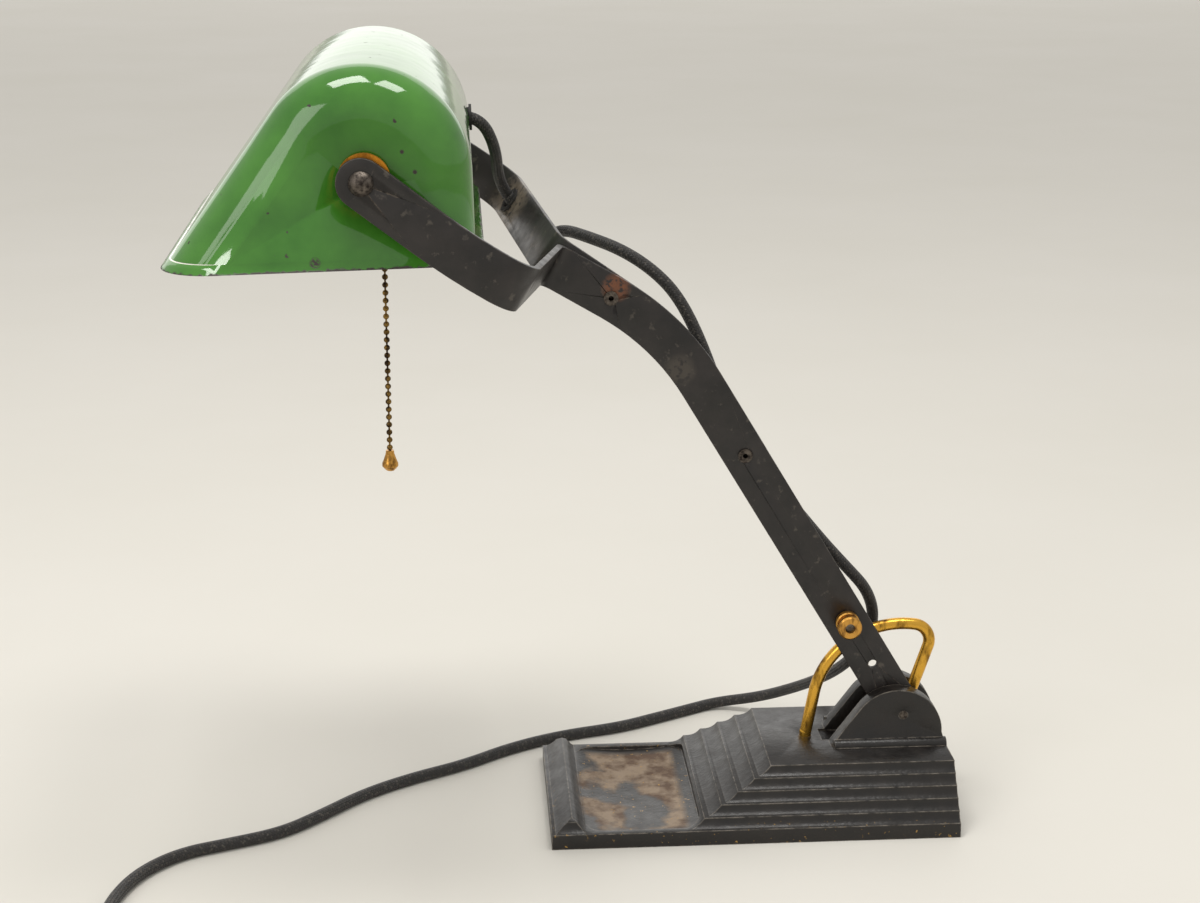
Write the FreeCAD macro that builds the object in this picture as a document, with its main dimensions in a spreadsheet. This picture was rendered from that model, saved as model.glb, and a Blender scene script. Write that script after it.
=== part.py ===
"""Banker desk lamp with a tilting flat-steel arm, an enamelled shade and a stepped iron base.

The lamp stands on z = 0 with the centre of its base at the origin. +X is the rear, where the arm is
hinged, -X is the front, where the pen tray is, and +Y is the side that the cord runs on. Millimetres.
"""
import FreeCAD, Part
import math
import os

import Sketcher
from FreeCAD import Placement, Rotation, Vector

# Driving dimensions: name, size in millimetres or degrees, what it is.
SIZES = [
    ("base_length", 210, "casting, front to rear"),
    ("base_width", 108, "casting, side to side"),
    ("plinth_height", 8, "straight foot of the casting"),
    ("deck_height", 35, "flat top of the casting"),
    ("step_total", 5, "coved steps on the front and the two sides"),
    ("deck_front", 8.5, "x of the deck's front ridge"),
    ("front_run", 8.9, "depth of one front step"),
    ("deck_half_width", 36.4, "y of the deck's side ridge"),
    ("cove_depth", 1.1, "hollow of a step's face behind its chord"),
    ("rear_draft", 0.8, "lean of the rear face"),
    ("casting_wall", 4.5, "roof and walls of the casting"),
    ("web_thickness", 10, "cross web under the middle of the casting"),
    ("tray_floor", 3.2, "metal under the pen tray"),
    ("tray_depth", 2.2, "dish of the pen tray"),
    ("tray_rim", 4, "flat edge beside the dish"),
    ("rib_height", 15, "front rib, which stops the pens"),
    ("rib_depth", 17, "front rib with its slope"),
    ("cheek_radius", 24, "round top of the two cheeks"),
    ("cheek_rise", 6.5, "centre of that round above the deck"),
    ("cheek_place", 78, "x of that round"),
    ("cheek_flank", 54, "slope of the cheeks' front edge"),
    ("cheek_thickness", 8, "one cheek"),
    ("cheek_cove", 3.5, "cove at the cheeks' feet"),
    ("slot_width", 14, "gap between the cheeks"),
    ("slot_floor_drop", 1, "slot's floor below the deck"),
    ("pivot_place", 81.2, "x of the arm's hinge"),
    ("pivot_rise", 16.5, "arm's hinge above the deck"),
    ("pin_diameter", 4.5, "arm's hinge pin"),
    ("running_gap", 0.05, "radial clearance of a turning fit"),
    ("face_gap", 0.3, "clearance between faces that slide past each other"),
    ("bar_width", 22, "flat bar of the arm"),
    ("bar_thickness", 3, "flat bar of the arm"),
    ("arm_lean", 121.2, "lower arm above the rearward horizontal"),
    ("lower_length", 241.5, "hinge to the meeting of the arm's two straights"),
    ("upper_heading", 149.7, "upper arm above the rearward horizontal"),
    ("upper_length", 116.7, "that meeting to the near fork's own knee"),
    ("fork_heading", 142.4, "near fork's last stretch"),
    ("fork_length", 54.8, "knee to the shade's axis"),
    ("arm_bend", 130, "radius of the arm's edgewise curve"),
    ("knee_bend", 300, "radius of the near fork's edgewise curve"),
    ("jog_start", 67.5, "near jog's inner bend, from the meeting of the straights"),
    ("jog_reach", 20, "how far the jog climbs along the arm"),
    ("far_heading", 145.2, "far bar's upper straight above the rearward horizontal"),
    ("far_length", 128, "far bar's upper straight, to its knee"),
    ("far_jog_start", 75.5, "far jog's inner bend, from its own meeting point"),
    ("far_jog_reach", 22, "how far the far jog climbs"),
    ("inner_bend", 9, "flatwise bend at the arm"),
    ("outer_bend", 14, "flatwise bend at the fork"),
    ("lap_end", 150, "far bar's lower end, from the hinge"),
    ("rivet_low", 164.8, "lower rivet, from the hinge"),
    ("rivet_high", 33, "upper rivet, beyond the meeting of the straights"),
    ("rivet_diameter", 5, "tubular rivet"),
    ("spare_hole", 4.5, "plain hole in the lower arm"),
    ("spare_hole_place", 30, "that hole, from the hinge"),
    ("hoop_rod", 6.2, "brass rod of the guide hoop"),
    ("hoop_radius", 45.6, "hoop about the hinge"),
    ("hoop_first", 172, "angle where the hoop leaves its foot"),
    ("hoop_last", 81, "angle where the hoop turns back"),
    ("hoop_turn", 9.5, "radius of the turn at the hoop's rear"),
    ("hoop_return", 107.5, "slope of the rear leg"),
    ("eye_diameter", 16, "eye at the hoop's rear end"),
    ("knob_place", 58.4, "clamp knob, from the hinge"),
    ("knob_diameter", 12.4, "clamp knob's flanges"),
    ("knob_length", 10.4, "clamp knob"),
    ("knob_waist", 9.4, "groove of the clamp knob"),
    ("stud_diameter", 5, "clamp stud"),
    ("plate_width", 14, "clamp plate"),
    ("shade_radius", 48, "round back of the shade, outside"),
    ("shade_half", 107.5, "half of the shade's length, outside"),
    ("shade_slope", 52.5, "slope of the shade's front panel"),
    ("shade_mouth", 35.2, "lip's fold below the shade's axis"),
    ("shade_wall", 1, "enamelled sheet"),
    ("shade_corner", 22, "round between the ends and the body"),
    ("lip_flare", 4, "lip's turned-out edge, out and down"),
    ("shade_tip", 1.5, "shade's lean at rest, front lip down"),
    ("screw_diameter", 6, "shade's pivot screws"),
    ("screw_head", 11, "domed heads of those screws"),
    ("brass_washer", 23, "friction washers outside the shade"),
    ("washer_shift", 1.2, "those washers sit this far up and to the rear of the screws"),
    ("holder_diameter", 34, "lampholder"),
    ("holder_front", 38, "y of the lampholder's mouth"),
    ("holder_back", 84, "y of the lampholder's cap"),
    ("bulb_diameter", 55, "glass bulb"),
    ("chain_place", -185, "x of the pull chain"),
    ("chain_side", 62, "y of the pull chain"),
    ("chain_ball", 3.2, "ball of the chain"),
    ("chain_pitch", 4.2, "ball to ball"),
    ("chain_total", 34, "balls in the chain"),
    ("cord_diameter", 6.2, "cloth-covered cord"),
    ("exit_side", 60, "y of the cord's hole in the shade"),
    ("exit_rise", 3.3, "that hole above the shade's axis"),
    ("hole_side", 92, "y of the cord's hole in the far jog"),
    ("coil_inner", 28.2, "inside radius of the stored coil"),
    ("coil_outer", 40.8, "outside radius of the stored coil"),
    ("coil_height", 12.2, "two layers of cord"),
    ("plug_diameter", 37, "plug's face"),
    ("plug_neck", 12, "plug's cord end"),
    ("plug_cone", 28, "plug's tapered part"),
    ("plug_disc", 11, "plug's straight part"),
    ("plug_pin", 4.8, "round pins"),
    ("plug_pin_length", 19, "round pins"),
    ("plug_pin_spacing", 19, "pin to pin"),
]

doc = FreeCAD.newDocument("BankerLamp")
sheet = doc.addObject("Spreadsheet::Sheet", "Sizes")
for row, (alias, size, meaning) in enumerate(SIZES, start=1):
    sheet.set("A%d" % row, meaning)
    sheet.set("B%d" % row, str(size))
    sheet.setAlias("B%d" % row, alias)
doc.recompute()


class Dimensions:
    """The sheet's cells, read by name."""

    def __getattr__(self, alias):
        return float(sheet.get(alias))


D = Dimensions()
nodes = []


# ---------------------------------------------------------------- building with the document

def finished(thing, label):
    """Gives a sub-part the name that its file takes."""
    thing.Label = label
    nodes.append(thing)
    return thing


def bind(thing, **expressions):
    """Ties properties to the sheet; a double underscore stands for a dot."""
    for prop, formula in expressions.items():
        thing.setExpression(prop.replace("__", "."), formula)
    return thing


def value(formula):
    """What a formula of the sheet comes to."""
    result = sheet.evalExpression(formula)
    return float(getattr(result, "Value", result))


def plane_of(body, role):
    """One of the body's own origin planes or axes."""
    return next(f for f in body.Origin.OriginFeatures if f.Role == role)


def outline(body, role, corners, name):
    """Closed sketch on an origin plane. A corner is two formulas; a third one is the radius of an arc to the
    next corner, positive when the arc hollows the side to the left of its chord."""
    sketch = body.newObject("Sketcher::SketchObject", name)
    sketch.AttachmentSupport = [(plane_of(body, role), "")]
    sketch.MapMode = "FlatFace"
    places = [Vector(value(c[0]), value(c[1]), 0) for c in corners]
    total = len(corners)
    for i, corner in enumerate(corners):
        a, b = places[i], places[(i + 1) % total]
        if len(corner) < 3:
            sketch.addGeometry(Part.LineSegment(a, b), False)
            continue
        radius = value(corner[2])
        half = (b - a).Length / 2
        side = Vector(-(b - a).y, (b - a).x, 0).normalize() * math.copysign(1, radius)
        sag = abs(radius) - math.sqrt(radius ** 2 - half ** 2)
        first, last = (b, a) if radius > 0 else (a, b)
        sketch.addGeometry(Part.Arc(first, (a + b) / 2 + side * sag, last), False)
    ends = []
    for i in range(total):
        curve = sketch.Geometry[i]
        forward = curve.StartPoint.distanceToPoint(places[i]) < curve.EndPoint.distanceToPoint(places[i])
        ends.append((1, 2) if forward else (2, 1))
    for i in range(total):
        after = (i + 1) % total
        sketch.addConstraint(Sketcher.Constraint("Coincident", i, ends[i][1], after, ends[after][0]))
    for i, corner in enumerate(corners):
        for kind, formula, axis in (("DistanceX", corner[0], -2), ("DistanceY", corner[1], -1)):
            if abs(value(formula)) < 1e-9:
                sketch.addConstraint(Sketcher.Constraint("PointOnObject", i, ends[i][0], axis))
                continue
            number = sketch.addConstraint(
                Sketcher.Constraint(kind, -1, 1, i, ends[i][0], value(formula)))
            sketch.setExpression("Constraints[%d]" % number, formula)
        if len(corner) == 3:
            number = sketch.addConstraint(Sketcher.Constraint("Radius", i, abs(value(corner[2]))))
            sketch.setExpression("Constraints[%d]" % number, "abs(%s)" % corner[2])
    return sketch


def padded(name, role, corners, length, both_ways=False):
    """Body that is one outline, padded."""
    body = doc.addObject("PartDesign::Body", name)
    sketch = outline(body, role, corners, name + "Outline")
    pad = body.newObject("PartDesign::Pad", name + "Pad")
    pad.Profile = sketch
    pad.setExpression("Length", length)
    pad.Midplane = both_ways
    return body


def turned(name, corners):
    """Body turned about its Z axis from (radius, height) corners."""
    body = doc.addObject("PartDesign::Body", name)
    sketch = outline(body, "XZ_Plane", corners, name + "Outline")
    revolution = body.newObject("PartDesign::Revolution", name + "Turning")
    revolution.Profile = sketch
    revolution.ReferenceAxis = (sketch, ["V_Axis"])
    revolution.Angle = 360
    return body


def rod(name, diameter, length, place, direction):
    """Round bar whose two sizes are formulas of the sheet."""
    thing = doc.addObject("Part::Cylinder", name)
    thing.setExpression("Radius", "(%s) / 2" % diameter)
    thing.setExpression("Height", length)
    thing.Placement = Placement(place, Rotation(Vector(0, 0, 1), direction))
    return thing


def block(name, low, high):
    """Box between two corners, given as formulas."""
    thing = doc.addObject("Part::Box", name)
    for prop, i in (("Length", 0), ("Width", 1), ("Height", 2)):
        thing.setExpression(prop, "(%s) - (%s)" % (high[i], low[i]))
    for axis, formula in zip("xyz", low):
        thing.setExpression("Placement.Base." + axis, formula)
    return thing


def joined(name, kind, parts):
    """Part::MultiFuse or Part::MultiCommon of several objects."""
    thing = doc.addObject(kind, name)
    thing.Shapes = parts
    return thing


def cut(name, base, tool):
    thing = doc.addObject("Part::Cut", name)
    thing.Base = base
    thing.Tool = tool
    return thing


def own_shape(label, shape, place=None):
    """Sub-part whose shape is worked out here, for bent bars, cords and repeated solids."""
    thing = doc.addObject("Part::Feature", label)
    thing.Shape = shape
    if place:
        thing.Placement = place
    return finished(thing, label)


def drum(radius, y_low, y_high, x, z):
    """Round solid along Y."""
    return Part.makeCylinder(radius, y_high - y_low, Vector(x, y_low, z), Vector(0, 1, 0))


def hexagon(flats, y_low, y_high, x, z):
    """Six-sided nut blank along Y."""
    corner = flats / math.sqrt(3)
    turns = [math.radians(60 * k) for k in range(7)]
    wire = Part.makePolygon([Vector(x + corner * math.cos(a), y_low, z + corner * math.sin(a)) for a in turns])
    return Part.Face(wire).extrude(Vector(0, y_high - y_low, 0))


# ---------------------------------------------------------------- paths of straight runs and tangent arcs

def tangent_arc(before, corner, after, radius):
    """The arc that rounds a corner, and its tangent length."""
    back = (before - corner).normalize()
    ahead = (after - corner).normalize()
    half_turn = (math.pi - back.getAngle(ahead)) / 2
    reach = radius * math.tan(half_turn)
    start = corner + back * reach
    end = corner + ahead * reach
    inward = (back + ahead).normalize()
    middle = corner + inward * (radius / math.cos(half_turn) - radius)
    return start, middle, end


def rounded_wire(points, radii):
    """Wire through the points, each inner corner rounded to its radius."""
    edges = []
    last = points[0]
    for i in range(1, len(points) - 1):
        start, middle, end = tangent_arc(points[i - 1], points[i], points[i + 1], radii[i - 1])
        if (start - last).Length > 1e-4:
            edges.append(Part.LineSegment(last, start).toShape())
        edges.append(Part.Arc(start, middle, end).toShape())
        last = end
    edges.append(Part.LineSegment(last, points[-1]).toShape())
    return Part.Wire(edges)


def slack_radii(points):
    """Each arc as large as its two runs allow."""
    radii = []
    for before, corner, after in zip(points, points[1:], points[2:]):
        shorter = min((before - corner).Length, (after - corner).Length)
        turn = math.pi - (before - corner).getAngle(after - corner)
        radii.append(0.45 * shorter / math.tan(turn / 2))
    return radii


def swept(face_wire, path):
    """Solid made by carrying a flat outline along a wire."""
    solid = path.makePipeShell([face_wire], True, True)
    return solid if solid.isValid() else solid.removeSplitter()


def tube(label, points):
    """Cord along hand-placed points; prints its tightest bend, its length and its volume's truth."""
    radii = slack_radii(points)
    path = rounded_wire(points, radii)
    ring = Part.Wire(Part.makeCircle(D.cord_diameter / 2, points[0], points[1] - points[0]))
    solid = swept(ring, path)
    expected = math.pi * D.cord_diameter ** 2 / 4 * path.Length
    print("%-12s length %7.1f  radii %s  volume share %.4f" % (
        label, path.Length, " ".join("%.0f" % r for r in radii), solid.Volume / expected))
    return own_shape(label, solid)


def polar(length, degrees):
    """Step in the lamp's side view; 0 degrees is rearward and 90 is up."""
    return Vector(length * math.cos(math.radians(degrees)), 0, length * math.sin(math.radians(degrees)))


# ---------------------------------------------------------------- places that several pieces share

PIVOT = Vector(D.pivot_place, 0, D.deck_height + D.pivot_rise)
MEETING = PIVOT + polar(D.lower_length, D.arm_lean)
KNEE = MEETING + polar(D.upper_length, D.upper_heading)
AXIS = KNEE + polar(D.fork_length, D.fork_heading)
BAR_FAR = -D.hoop_rod / 2 - D.face_gap
BAR_NEAR = BAR_FAR - D.bar_thickness
LAP_FAR = BAR_FAR + D.bar_thickness
FORK_IN = D.shade_half + D.lip_flare + 0.5
FORK_OUT = FORK_IN + D.bar_thickness
SLOT_HALF = D.slot_width / 2
CHEEK_OUT = SLOT_HALF + D.cheek_thickness


# ---------------------------------------------------------------- base casting

def staircase(start, run, toward, name):
    """Corners of the coved steps from the deck's ridge down to the plinth."""
    corners = []
    steps = int(D.step_total)
    for k in range(steps):
        across = "%s + (%s) * %d" % (start, run, k)
        height = "Sizes.deck_height - (Sizes.deck_height - Sizes.plinth_height) / %d * %d" % (steps, k)
        chord = "sqrt((%s)^2 + ((Sizes.deck_height - Sizes.plinth_height) / %d)^2)" % (run, steps)
        radius = "(Sizes.cove_depth / 2 + (%s)^2 / 8 / Sizes.cove_depth) * %d" % (chord, toward)
        corners.append((across, height, radius))
    corners.append(("%s + (%s) * %d" % (start, run, steps), "Sizes.plinth_height"))
    return corners


def base_casting():
    """Stepped block from a side view and an end view, with cheeks, dish, slot, bores and a hollow below."""
    front = "-Sizes.base_length / 2"
    rear = "Sizes.base_length / 2"
    rib_back = front + " + Sizes.rib_depth"
    steps = staircase("Sizes.deck_front", "-Sizes.front_run", 1, "Front")
    side_view = steps + [
        (rib_back, "Sizes.plinth_height"),
        (front + " + 12.5", "Sizes.rib_height - 1.4"),
        (front + " + 10.5", "Sizes.rib_height"),
        (front + " + 9", "Sizes.rib_height - 0.6"),
        (front + " + 2", "Sizes.plinth_height"),
        (front, "Sizes.plinth_height"),
        (front, "0"),
        (rear, "0"),
        (rear + " - Sizes.rear_draft", "Sizes.deck_height"),
    ]
    side_run = "(Sizes.base_width / 2 - Sizes.deck_half_width) / Sizes.step_total"
    right = staircase("Sizes.deck_half_width", side_run, -1, "Right")
    left = staircase("-Sizes.deck_half_width", "-(%s)" % side_run, 1, "Left")
    end_view = right + [("Sizes.base_width / 2", "0"), ("-Sizes.base_width / 2", "0")]
    end_view += [mirrored_arc(left, k) for k in range(len(left) - 1, -1, -1)]
    profile = padded("CastingSide", "XZ_Plane", side_view, "Sizes.base_width", True)
    section = padded("CastingEnd", "YZ_Plane", end_view, "Sizes.base_length", True)
    stepped = joined("CastingSteps", "Part::MultiCommon", [profile, section])
    cheeks = cheek_pair()
    slot = block("CastingSlot", ("%g" % slot_front(), "-Sizes.slot_width / 2", "Sizes.deck_height - "
                 "Sizes.slot_floor_drop"), (rear + " + 1", "Sizes.slot_width / 2", "Sizes.deck_height + 60"))
    solid = joined("CastingSolid", "Part::MultiFuse", [stepped] + cheeks)
    tools = [slot, tray_dish(), *hollow_below()]
    pin_bore = rod("PinBore", "Sizes.pin_diameter", "Sizes.slot_width + 2 * Sizes.cheek_thickness + 2",
                   PIVOT + Vector(0, -CHEEK_OUT - 1, 0), Vector(0, 1, 0))
    foot_bore = rod("FootBore", "Sizes.hoop_rod", "Sizes.casting_wall + 4",
                    hoop_foot() + Vector(0, 0, -2), Vector(0, 0, 1))
    removed = joined("CastingRemoved", "Part::MultiFuse", tools + [pin_bore, foot_bore])
    finished(cut("BaseCasting", solid, removed), "base_casting")


def mirrored_arc(corners, k):
    """Corner k of a list read backwards: its arc is the one that led to it."""
    before = corners[k - 1] if k else None
    if before and len(before) == 3:
        return corners[k][0], corners[k][1], "-(%s)" % before[2]
    return corners[k][0], corners[k][1]


def slot_front():
    """The slot opens a little ahead of the cheeks' feet."""
    return D.cheek_place - D.cheek_radius - 14


def cheek_pair():
    """Two round-topped cheeks with a cove along their feet."""
    flank = "Sizes.cheek_flank"
    touch_x = "Sizes.cheek_place - Sizes.cheek_radius * sin(%s)" % flank
    touch_z = "Sizes.deck_height + Sizes.cheek_rise + Sizes.cheek_radius * cos(%s)" % flank
    sink = 3
    foot_x = "%s - (Sizes.cheek_rise + Sizes.cheek_radius * cos(%s) + %d) / tan(%s)" % (touch_x, flank, sink, flank)
    top = "Sizes.deck_height + Sizes.cheek_rise"
    rear_x = "Sizes.cheek_place + Sizes.cheek_radius"
    flare_x = "Sizes.base_length / 2 - Sizes.rear_draft"
    crown = ("Sizes.cheek_place", top + " + Sizes.cheek_radius")
    corners = [
        (foot_x, "Sizes.deck_height - %d" % sink),
        (flare_x, "Sizes.deck_height - %d" % sink),
        (flare_x, "Sizes.deck_height"),
        (rear_x + " + 0.6", top + " - 2"),
        (rear_x, top, "-Sizes.cheek_radius"),
        crown + ("-Sizes.cheek_radius",),
        (touch_x, touch_z),
    ]
    pair = []
    for side, sign in (("Near", -1), ("Far", 1)):
        cheek = padded(side + "Cheek", "XZ_Plane", corners, "Sizes.cheek_thickness")
        low = "-Sizes.slot_width / 2 - Sizes.cheek_thickness" if sign < 0 else "Sizes.slot_width / 2"
        cheek.Placement = Placement(Vector(0, 0, 0), Rotation())
        cheek.setExpression("Placement.Base.y", "%s + Sizes.cheek_thickness" % low)
        pair.append(cheek)
        face = "Sizes.slot_width / 2 + Sizes.cheek_thickness"
        bead = [
            ("(%s - 1) * %d" % (face, sign), "Sizes.deck_height - 1"),
            ("(%s + Sizes.cheek_cove) * %d" % (face, sign), "Sizes.deck_height - 1"),
            ("(%s + Sizes.cheek_cove) * %d" % (face, sign), "Sizes.deck_height", "%d * Sizes.cheek_cove" % -sign),
            ("(%s) * %d" % (face, sign), "Sizes.deck_height + Sizes.cheek_cove"),
            ("(%s - 1) * %d" % (face, sign), "Sizes.deck_height + Sizes.cheek_cove"),
        ]
        cove = padded(side + "Cove", "YZ_Plane", bead, "Sizes.base_length / 2 - Sizes.rear_draft - 45")
        cove.setExpression("Placement.Base.x", "45")
        pair.append(cove)
    return pair


def tray_dish():
    """Shallow trough between the rib and the steps, with rounded corners."""
    length = D.base_length / 2 - D.rib_depth + D.deck_front - (D.step_total - 1) * D.front_run - 2.5
    centre = -D.base_length / 2 + D.rib_depth + length / 2 + 1
    radius = length ** 2 / 8 / D.tray_depth + D.tray_depth / 2
    half = D.base_width / 2 - D.tray_rim
    trough = Part.makeCylinder(radius, 2 * half, Vector(centre, -half, D.plinth_height + radius - D.tray_depth),
                               Vector(0, 1, 0))
    bound = Part.makeBox(length, 2 * half, 9, Vector(centre - length / 2, -half, D.plinth_height - 4))
    bound = bound.makeFillet(9, [e for e in bound.Edges if abs(e.tangentAt(0).z) > 0.9])
    thing = doc.addObject("Part::Feature", "TrayDish")
    thing.Shape = trough.common(bound)
    return thing


def hollow_below():
    """Open underside on both sides of a cross web: low under the tray, tall under the steps."""
    wall = "Sizes.casting_wall"
    edge = "Sizes.web_thickness / 2"
    side = "(Sizes.base_width / 2 - %s)" % wall
    low_top = "Sizes.plinth_height - Sizes.tray_depth - Sizes.tray_floor"
    rear = "Sizes.base_length / 2 - " + wall
    front = block("HollowFront", ("-Sizes.base_length / 2 + " + wall, "-" + side, "-1"),
                  ("-" + edge, side, low_top))
    low = block("HollowRear", (edge, "-" + side, "-1"), (rear, side, low_top))
    middle = block("HollowMiddle", (edge, "-Sizes.deck_half_width - 2", "-1"),
                   (rear, "Sizes.deck_half_width + 2", "Sizes.deck_height - %s - 14" % wall))
    tall = block("HollowTall", ("Sizes.deck_front + " + wall, "-Sizes.deck_half_width + " + wall, "-1"),
                 (rear, "Sizes.deck_half_width - " + wall, "Sizes.deck_height - " + wall))
    return [front, low, middle, tall]


# ---------------------------------------------------------------- guide hoop and hinge

def hoop_points():
    """Tangent points of the hoop: foot, start and end of the big arc, end of the small turn, eye."""
    start = PIVOT + polar(D.hoop_radius, D.hoop_first)
    down = polar(1, D.hoop_first + 90)
    foot_length = (start.z - (D.deck_height - D.casting_wall)) / -down.z
    foot = start + down * foot_length
    centre = PIVOT + polar(D.hoop_radius - D.hoop_turn, D.hoop_last)
    after = centre + polar(D.hoop_turn, D.hoop_return - 90 - 35)
    return foot, start, centre, after


def hoop_foot():
    """Where the hoop stands in its bore; the bore itself is upright."""
    return Vector(hoop_points()[0].x, 0, D.deck_height - D.casting_wall)


def guide_hoop():
    """Round rod about the hinge, turned back at the rear into an eye on the pin."""
    foot, start, centre, _ = hoop_points()
    radius = D.hoop_rod / 2
    landing = Vector(foot.x, 0, D.deck_height + 1)
    rise = start - landing
    big_middle = PIVOT + polar(D.hoop_radius, (D.hoop_first + D.hoop_last) / 2)
    big_end = PIVOT + polar(D.hoop_radius, D.hoop_last)
    turn_end_angle = D.hoop_return - 125
    turn_middle = centre + polar(D.hoop_turn, (D.hoop_last + turn_end_angle) / 2)
    turn_end = centre + polar(D.hoop_turn, turn_end_angle)
    leg = polar(1, turn_end_angle - 90)
    leg_end = turn_end + leg * ((turn_end.z - PIVOT.z - 3) / -leg.z)
    path = Part.Wire([
        Part.LineSegment(landing, start).toShape(),
        Part.Arc(start, big_middle, big_end).toShape(),
        Part.Arc(big_end, turn_middle, turn_end).toShape(),
        Part.LineSegment(turn_end, leg_end).toShape(),
    ])
    ring = Part.Wire(Part.makeCircle(radius, landing, rise))
    body = swept(ring, path)
    foot_rod = Part.makeCylinder(radius, D.casting_wall + 10, Vector(foot.x, 0, D.deck_height
                                 - D.casting_wall - 8), Vector(0, 0, 1))
    ball = Part.makeSphere(radius, Vector(foot.x, 0, D.deck_height + 2))
    eye = drum(D.eye_diameter / 2, -radius, radius, PIVOT.x, PIVOT.z)
    bore = drum(D.pin_diameter / 2, -radius - 1, radius + 1, PIVOT.x, PIVOT.z)
    own_shape("guide_hoop", body.multiFuse([foot_rod, ball, eye]).cut(bore).removeSplitter())
    top = D.deck_height - D.casting_wall
    nut = hexagon(10, 0, 5, 0, 0)
    nut.rotate(Vector(), Vector(1, 0, 0), -90)
    nut.translate(Vector(foot.x, 0, top))
    bore = Part.makeCylinder(radius, 12, Vector(foot.x, 0, top - 9), Vector(0, 0, 1))
    own_shape("hoop_nut", nut.cut(bore))


def hinge_pieces():
    """Pin through both cheeks, a washer beside the bar and a bush that holds the hoop's eye off the far cheek."""
    reach = CHEEK_OUT + 0.2
    finished(rod("PivotPin", "Sizes.pin_diameter", "Sizes.slot_width + 2 * Sizes.cheek_thickness + 0.4",
                 PIVOT + Vector(0, -reach, 0), Vector(0, 1, 0)), "pivot_pin")
    inner = D.pin_diameter / 2
    washer = drum(7, -SLOT_HALF, BAR_NEAR - 0.1, PIVOT.x, PIVOT.z)
    own_shape("pivot_washer", washer.cut(drum(inner, -9, -5, PIVOT.x, PIVOT.z)))
    bush = drum(5, D.hoop_rod / 2, SLOT_HALF, PIVOT.x, PIVOT.z)
    own_shape("pivot_bush", bush.cut(drum(inner, 2, 9, PIVOT.x, PIVOT.z)))


# ---------------------------------------------------------------- arm

def bar_outline(points, bends):
    """Side view of a flat bar: a strip along the path with a round at both ends, deep enough to be trimmed."""
    deep = 2 * FORK_OUT + 20
    path = rounded_wire(points, bends)
    along = (points[1] - points[0]).normalize()
    across = Vector(-along.z, 0, along.x) * (D.bar_width / 2)
    shift = Vector(0, -deep / 2, 0)
    section = Part.makePolygon([points[0] + shift + across, points[0] + shift - across,
                                points[0] - shift - across, points[0] - shift + across,
                                points[0] + shift + across])
    strip = swept(section, path)
    ends = [drum(D.bar_width / 2, -deep / 2, deep / 2, p.x, p.z) for p in (points[0], points[-1])]
    return strip.multiFuse(ends).removeSplitter()


def jog_sheet(meeting, heading, start, reach, inner_y, outer_y):
    """Bent sheet that gives a bar its place across the lamp: along the arm, out by the jog, along the fork."""
    along = polar(1, heading)
    width = 400
    first = meeting + along * start + Vector(0, inner_y, 0)
    second = meeting + along * (start + reach) + Vector(0, outer_y, 0)
    points = [first - along * 420, first, second, second + along * 160]
    path = rounded_wire(points, [D.inner_bend, D.outer_bend])
    across = Vector(-along.z, 0, along.x) * (width / 2)
    thick = Vector(0, D.bar_thickness / 2, 0)
    p = points[0]
    section = Part.makePolygon([p + across + thick, p - across + thick, p - across - thick,
                                p + across - thick, p + across + thick])
    return swept(section, path)


def through(x, z, diameter, low=-200, high=200):
    """Drill along Y."""
    return drum(diameter / 2, low, high, x, z)


def main_arm_bar():
    """Near bar: the whole arm and the near fork in one piece."""
    side = bar_outline([PIVOT, MEETING, KNEE, AXIS], [D.arm_bend, D.knee_bend])
    sheet_y = (BAR_NEAR + BAR_FAR) / 2
    fork_y = -(FORK_IN + FORK_OUT) / 2
    bent = jog_sheet(MEETING, D.upper_heading, D.jog_start, D.jog_reach, sheet_y, fork_y)
    holes = [through(PIVOT.x, PIVOT.z, D.pin_diameter + 2 * D.running_gap)]
    holes.append(through(AXIS.x, AXIS.z, D.screw_diameter + 2 * D.running_gap))
    for distance, size in ((D.spare_hole_place, D.spare_hole), (D.knob_place, D.stud_diameter),
                           (D.rivet_low, D.rivet_diameter)):
        p = PIVOT + polar(distance, D.arm_lean)
        holes.append(through(p.x, p.z, size))
    p = rivet_places()[1]
    holes.append(through(p.x, p.z, D.rivet_diameter))
    own_shape("main_arm_bar", side.common(bent).cut(Part.makeCompound(holes)))


def rivet_places():
    """Lower and upper rivet."""
    return PIVOT + polar(D.rivet_low, D.arm_lean), MEETING + polar(D.rivet_high, D.upper_heading)


def far_path():
    """Meeting of the far bar's straights, on the lower arm's line and in line with the upper rivet; its knee."""
    high = rivet_places()[1]
    along = polar(1, D.far_heading)
    lean = polar(1, D.arm_lean)
    offset = high - PIVOT
    share = (offset.x * along.z - offset.z * along.x) / (lean.x * along.z - lean.z * along.x)
    meeting = PIVOT + lean * share
    return meeting, meeting + along * D.far_length


def far_jog_point(y, up=0.0):
    """Point on the far jog's middle surface at a given y, moved up the bar's width."""
    meeting, _ = far_path()
    heading = D.far_heading
    inner_y = (BAR_FAR + LAP_FAR) / 2
    outer_y = (FORK_IN + FORK_OUT) / 2
    share = (y - inner_y) / (outer_y - inner_y)
    along = D.far_jog_start + D.far_jog_reach * share
    return meeting + polar(along, heading) + polar(up, heading - 90) + Vector(0, y, 0)


def far_jog_normal():
    """Direction straight through the far jog, towards the rear."""
    span = (FORK_IN + FORK_OUT) / 2 - (BAR_FAR + LAP_FAR) / 2
    normal = polar(-span, D.far_heading) + Vector(0, D.far_jog_reach, 0)
    return normal.normalize()


CORD_UP = -0.5
CORD_SLANT = 22


def cord_hole():
    """Centre of the cord's hole in the far jog."""
    return far_jog_point(D.hole_side, CORD_UP)


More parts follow.
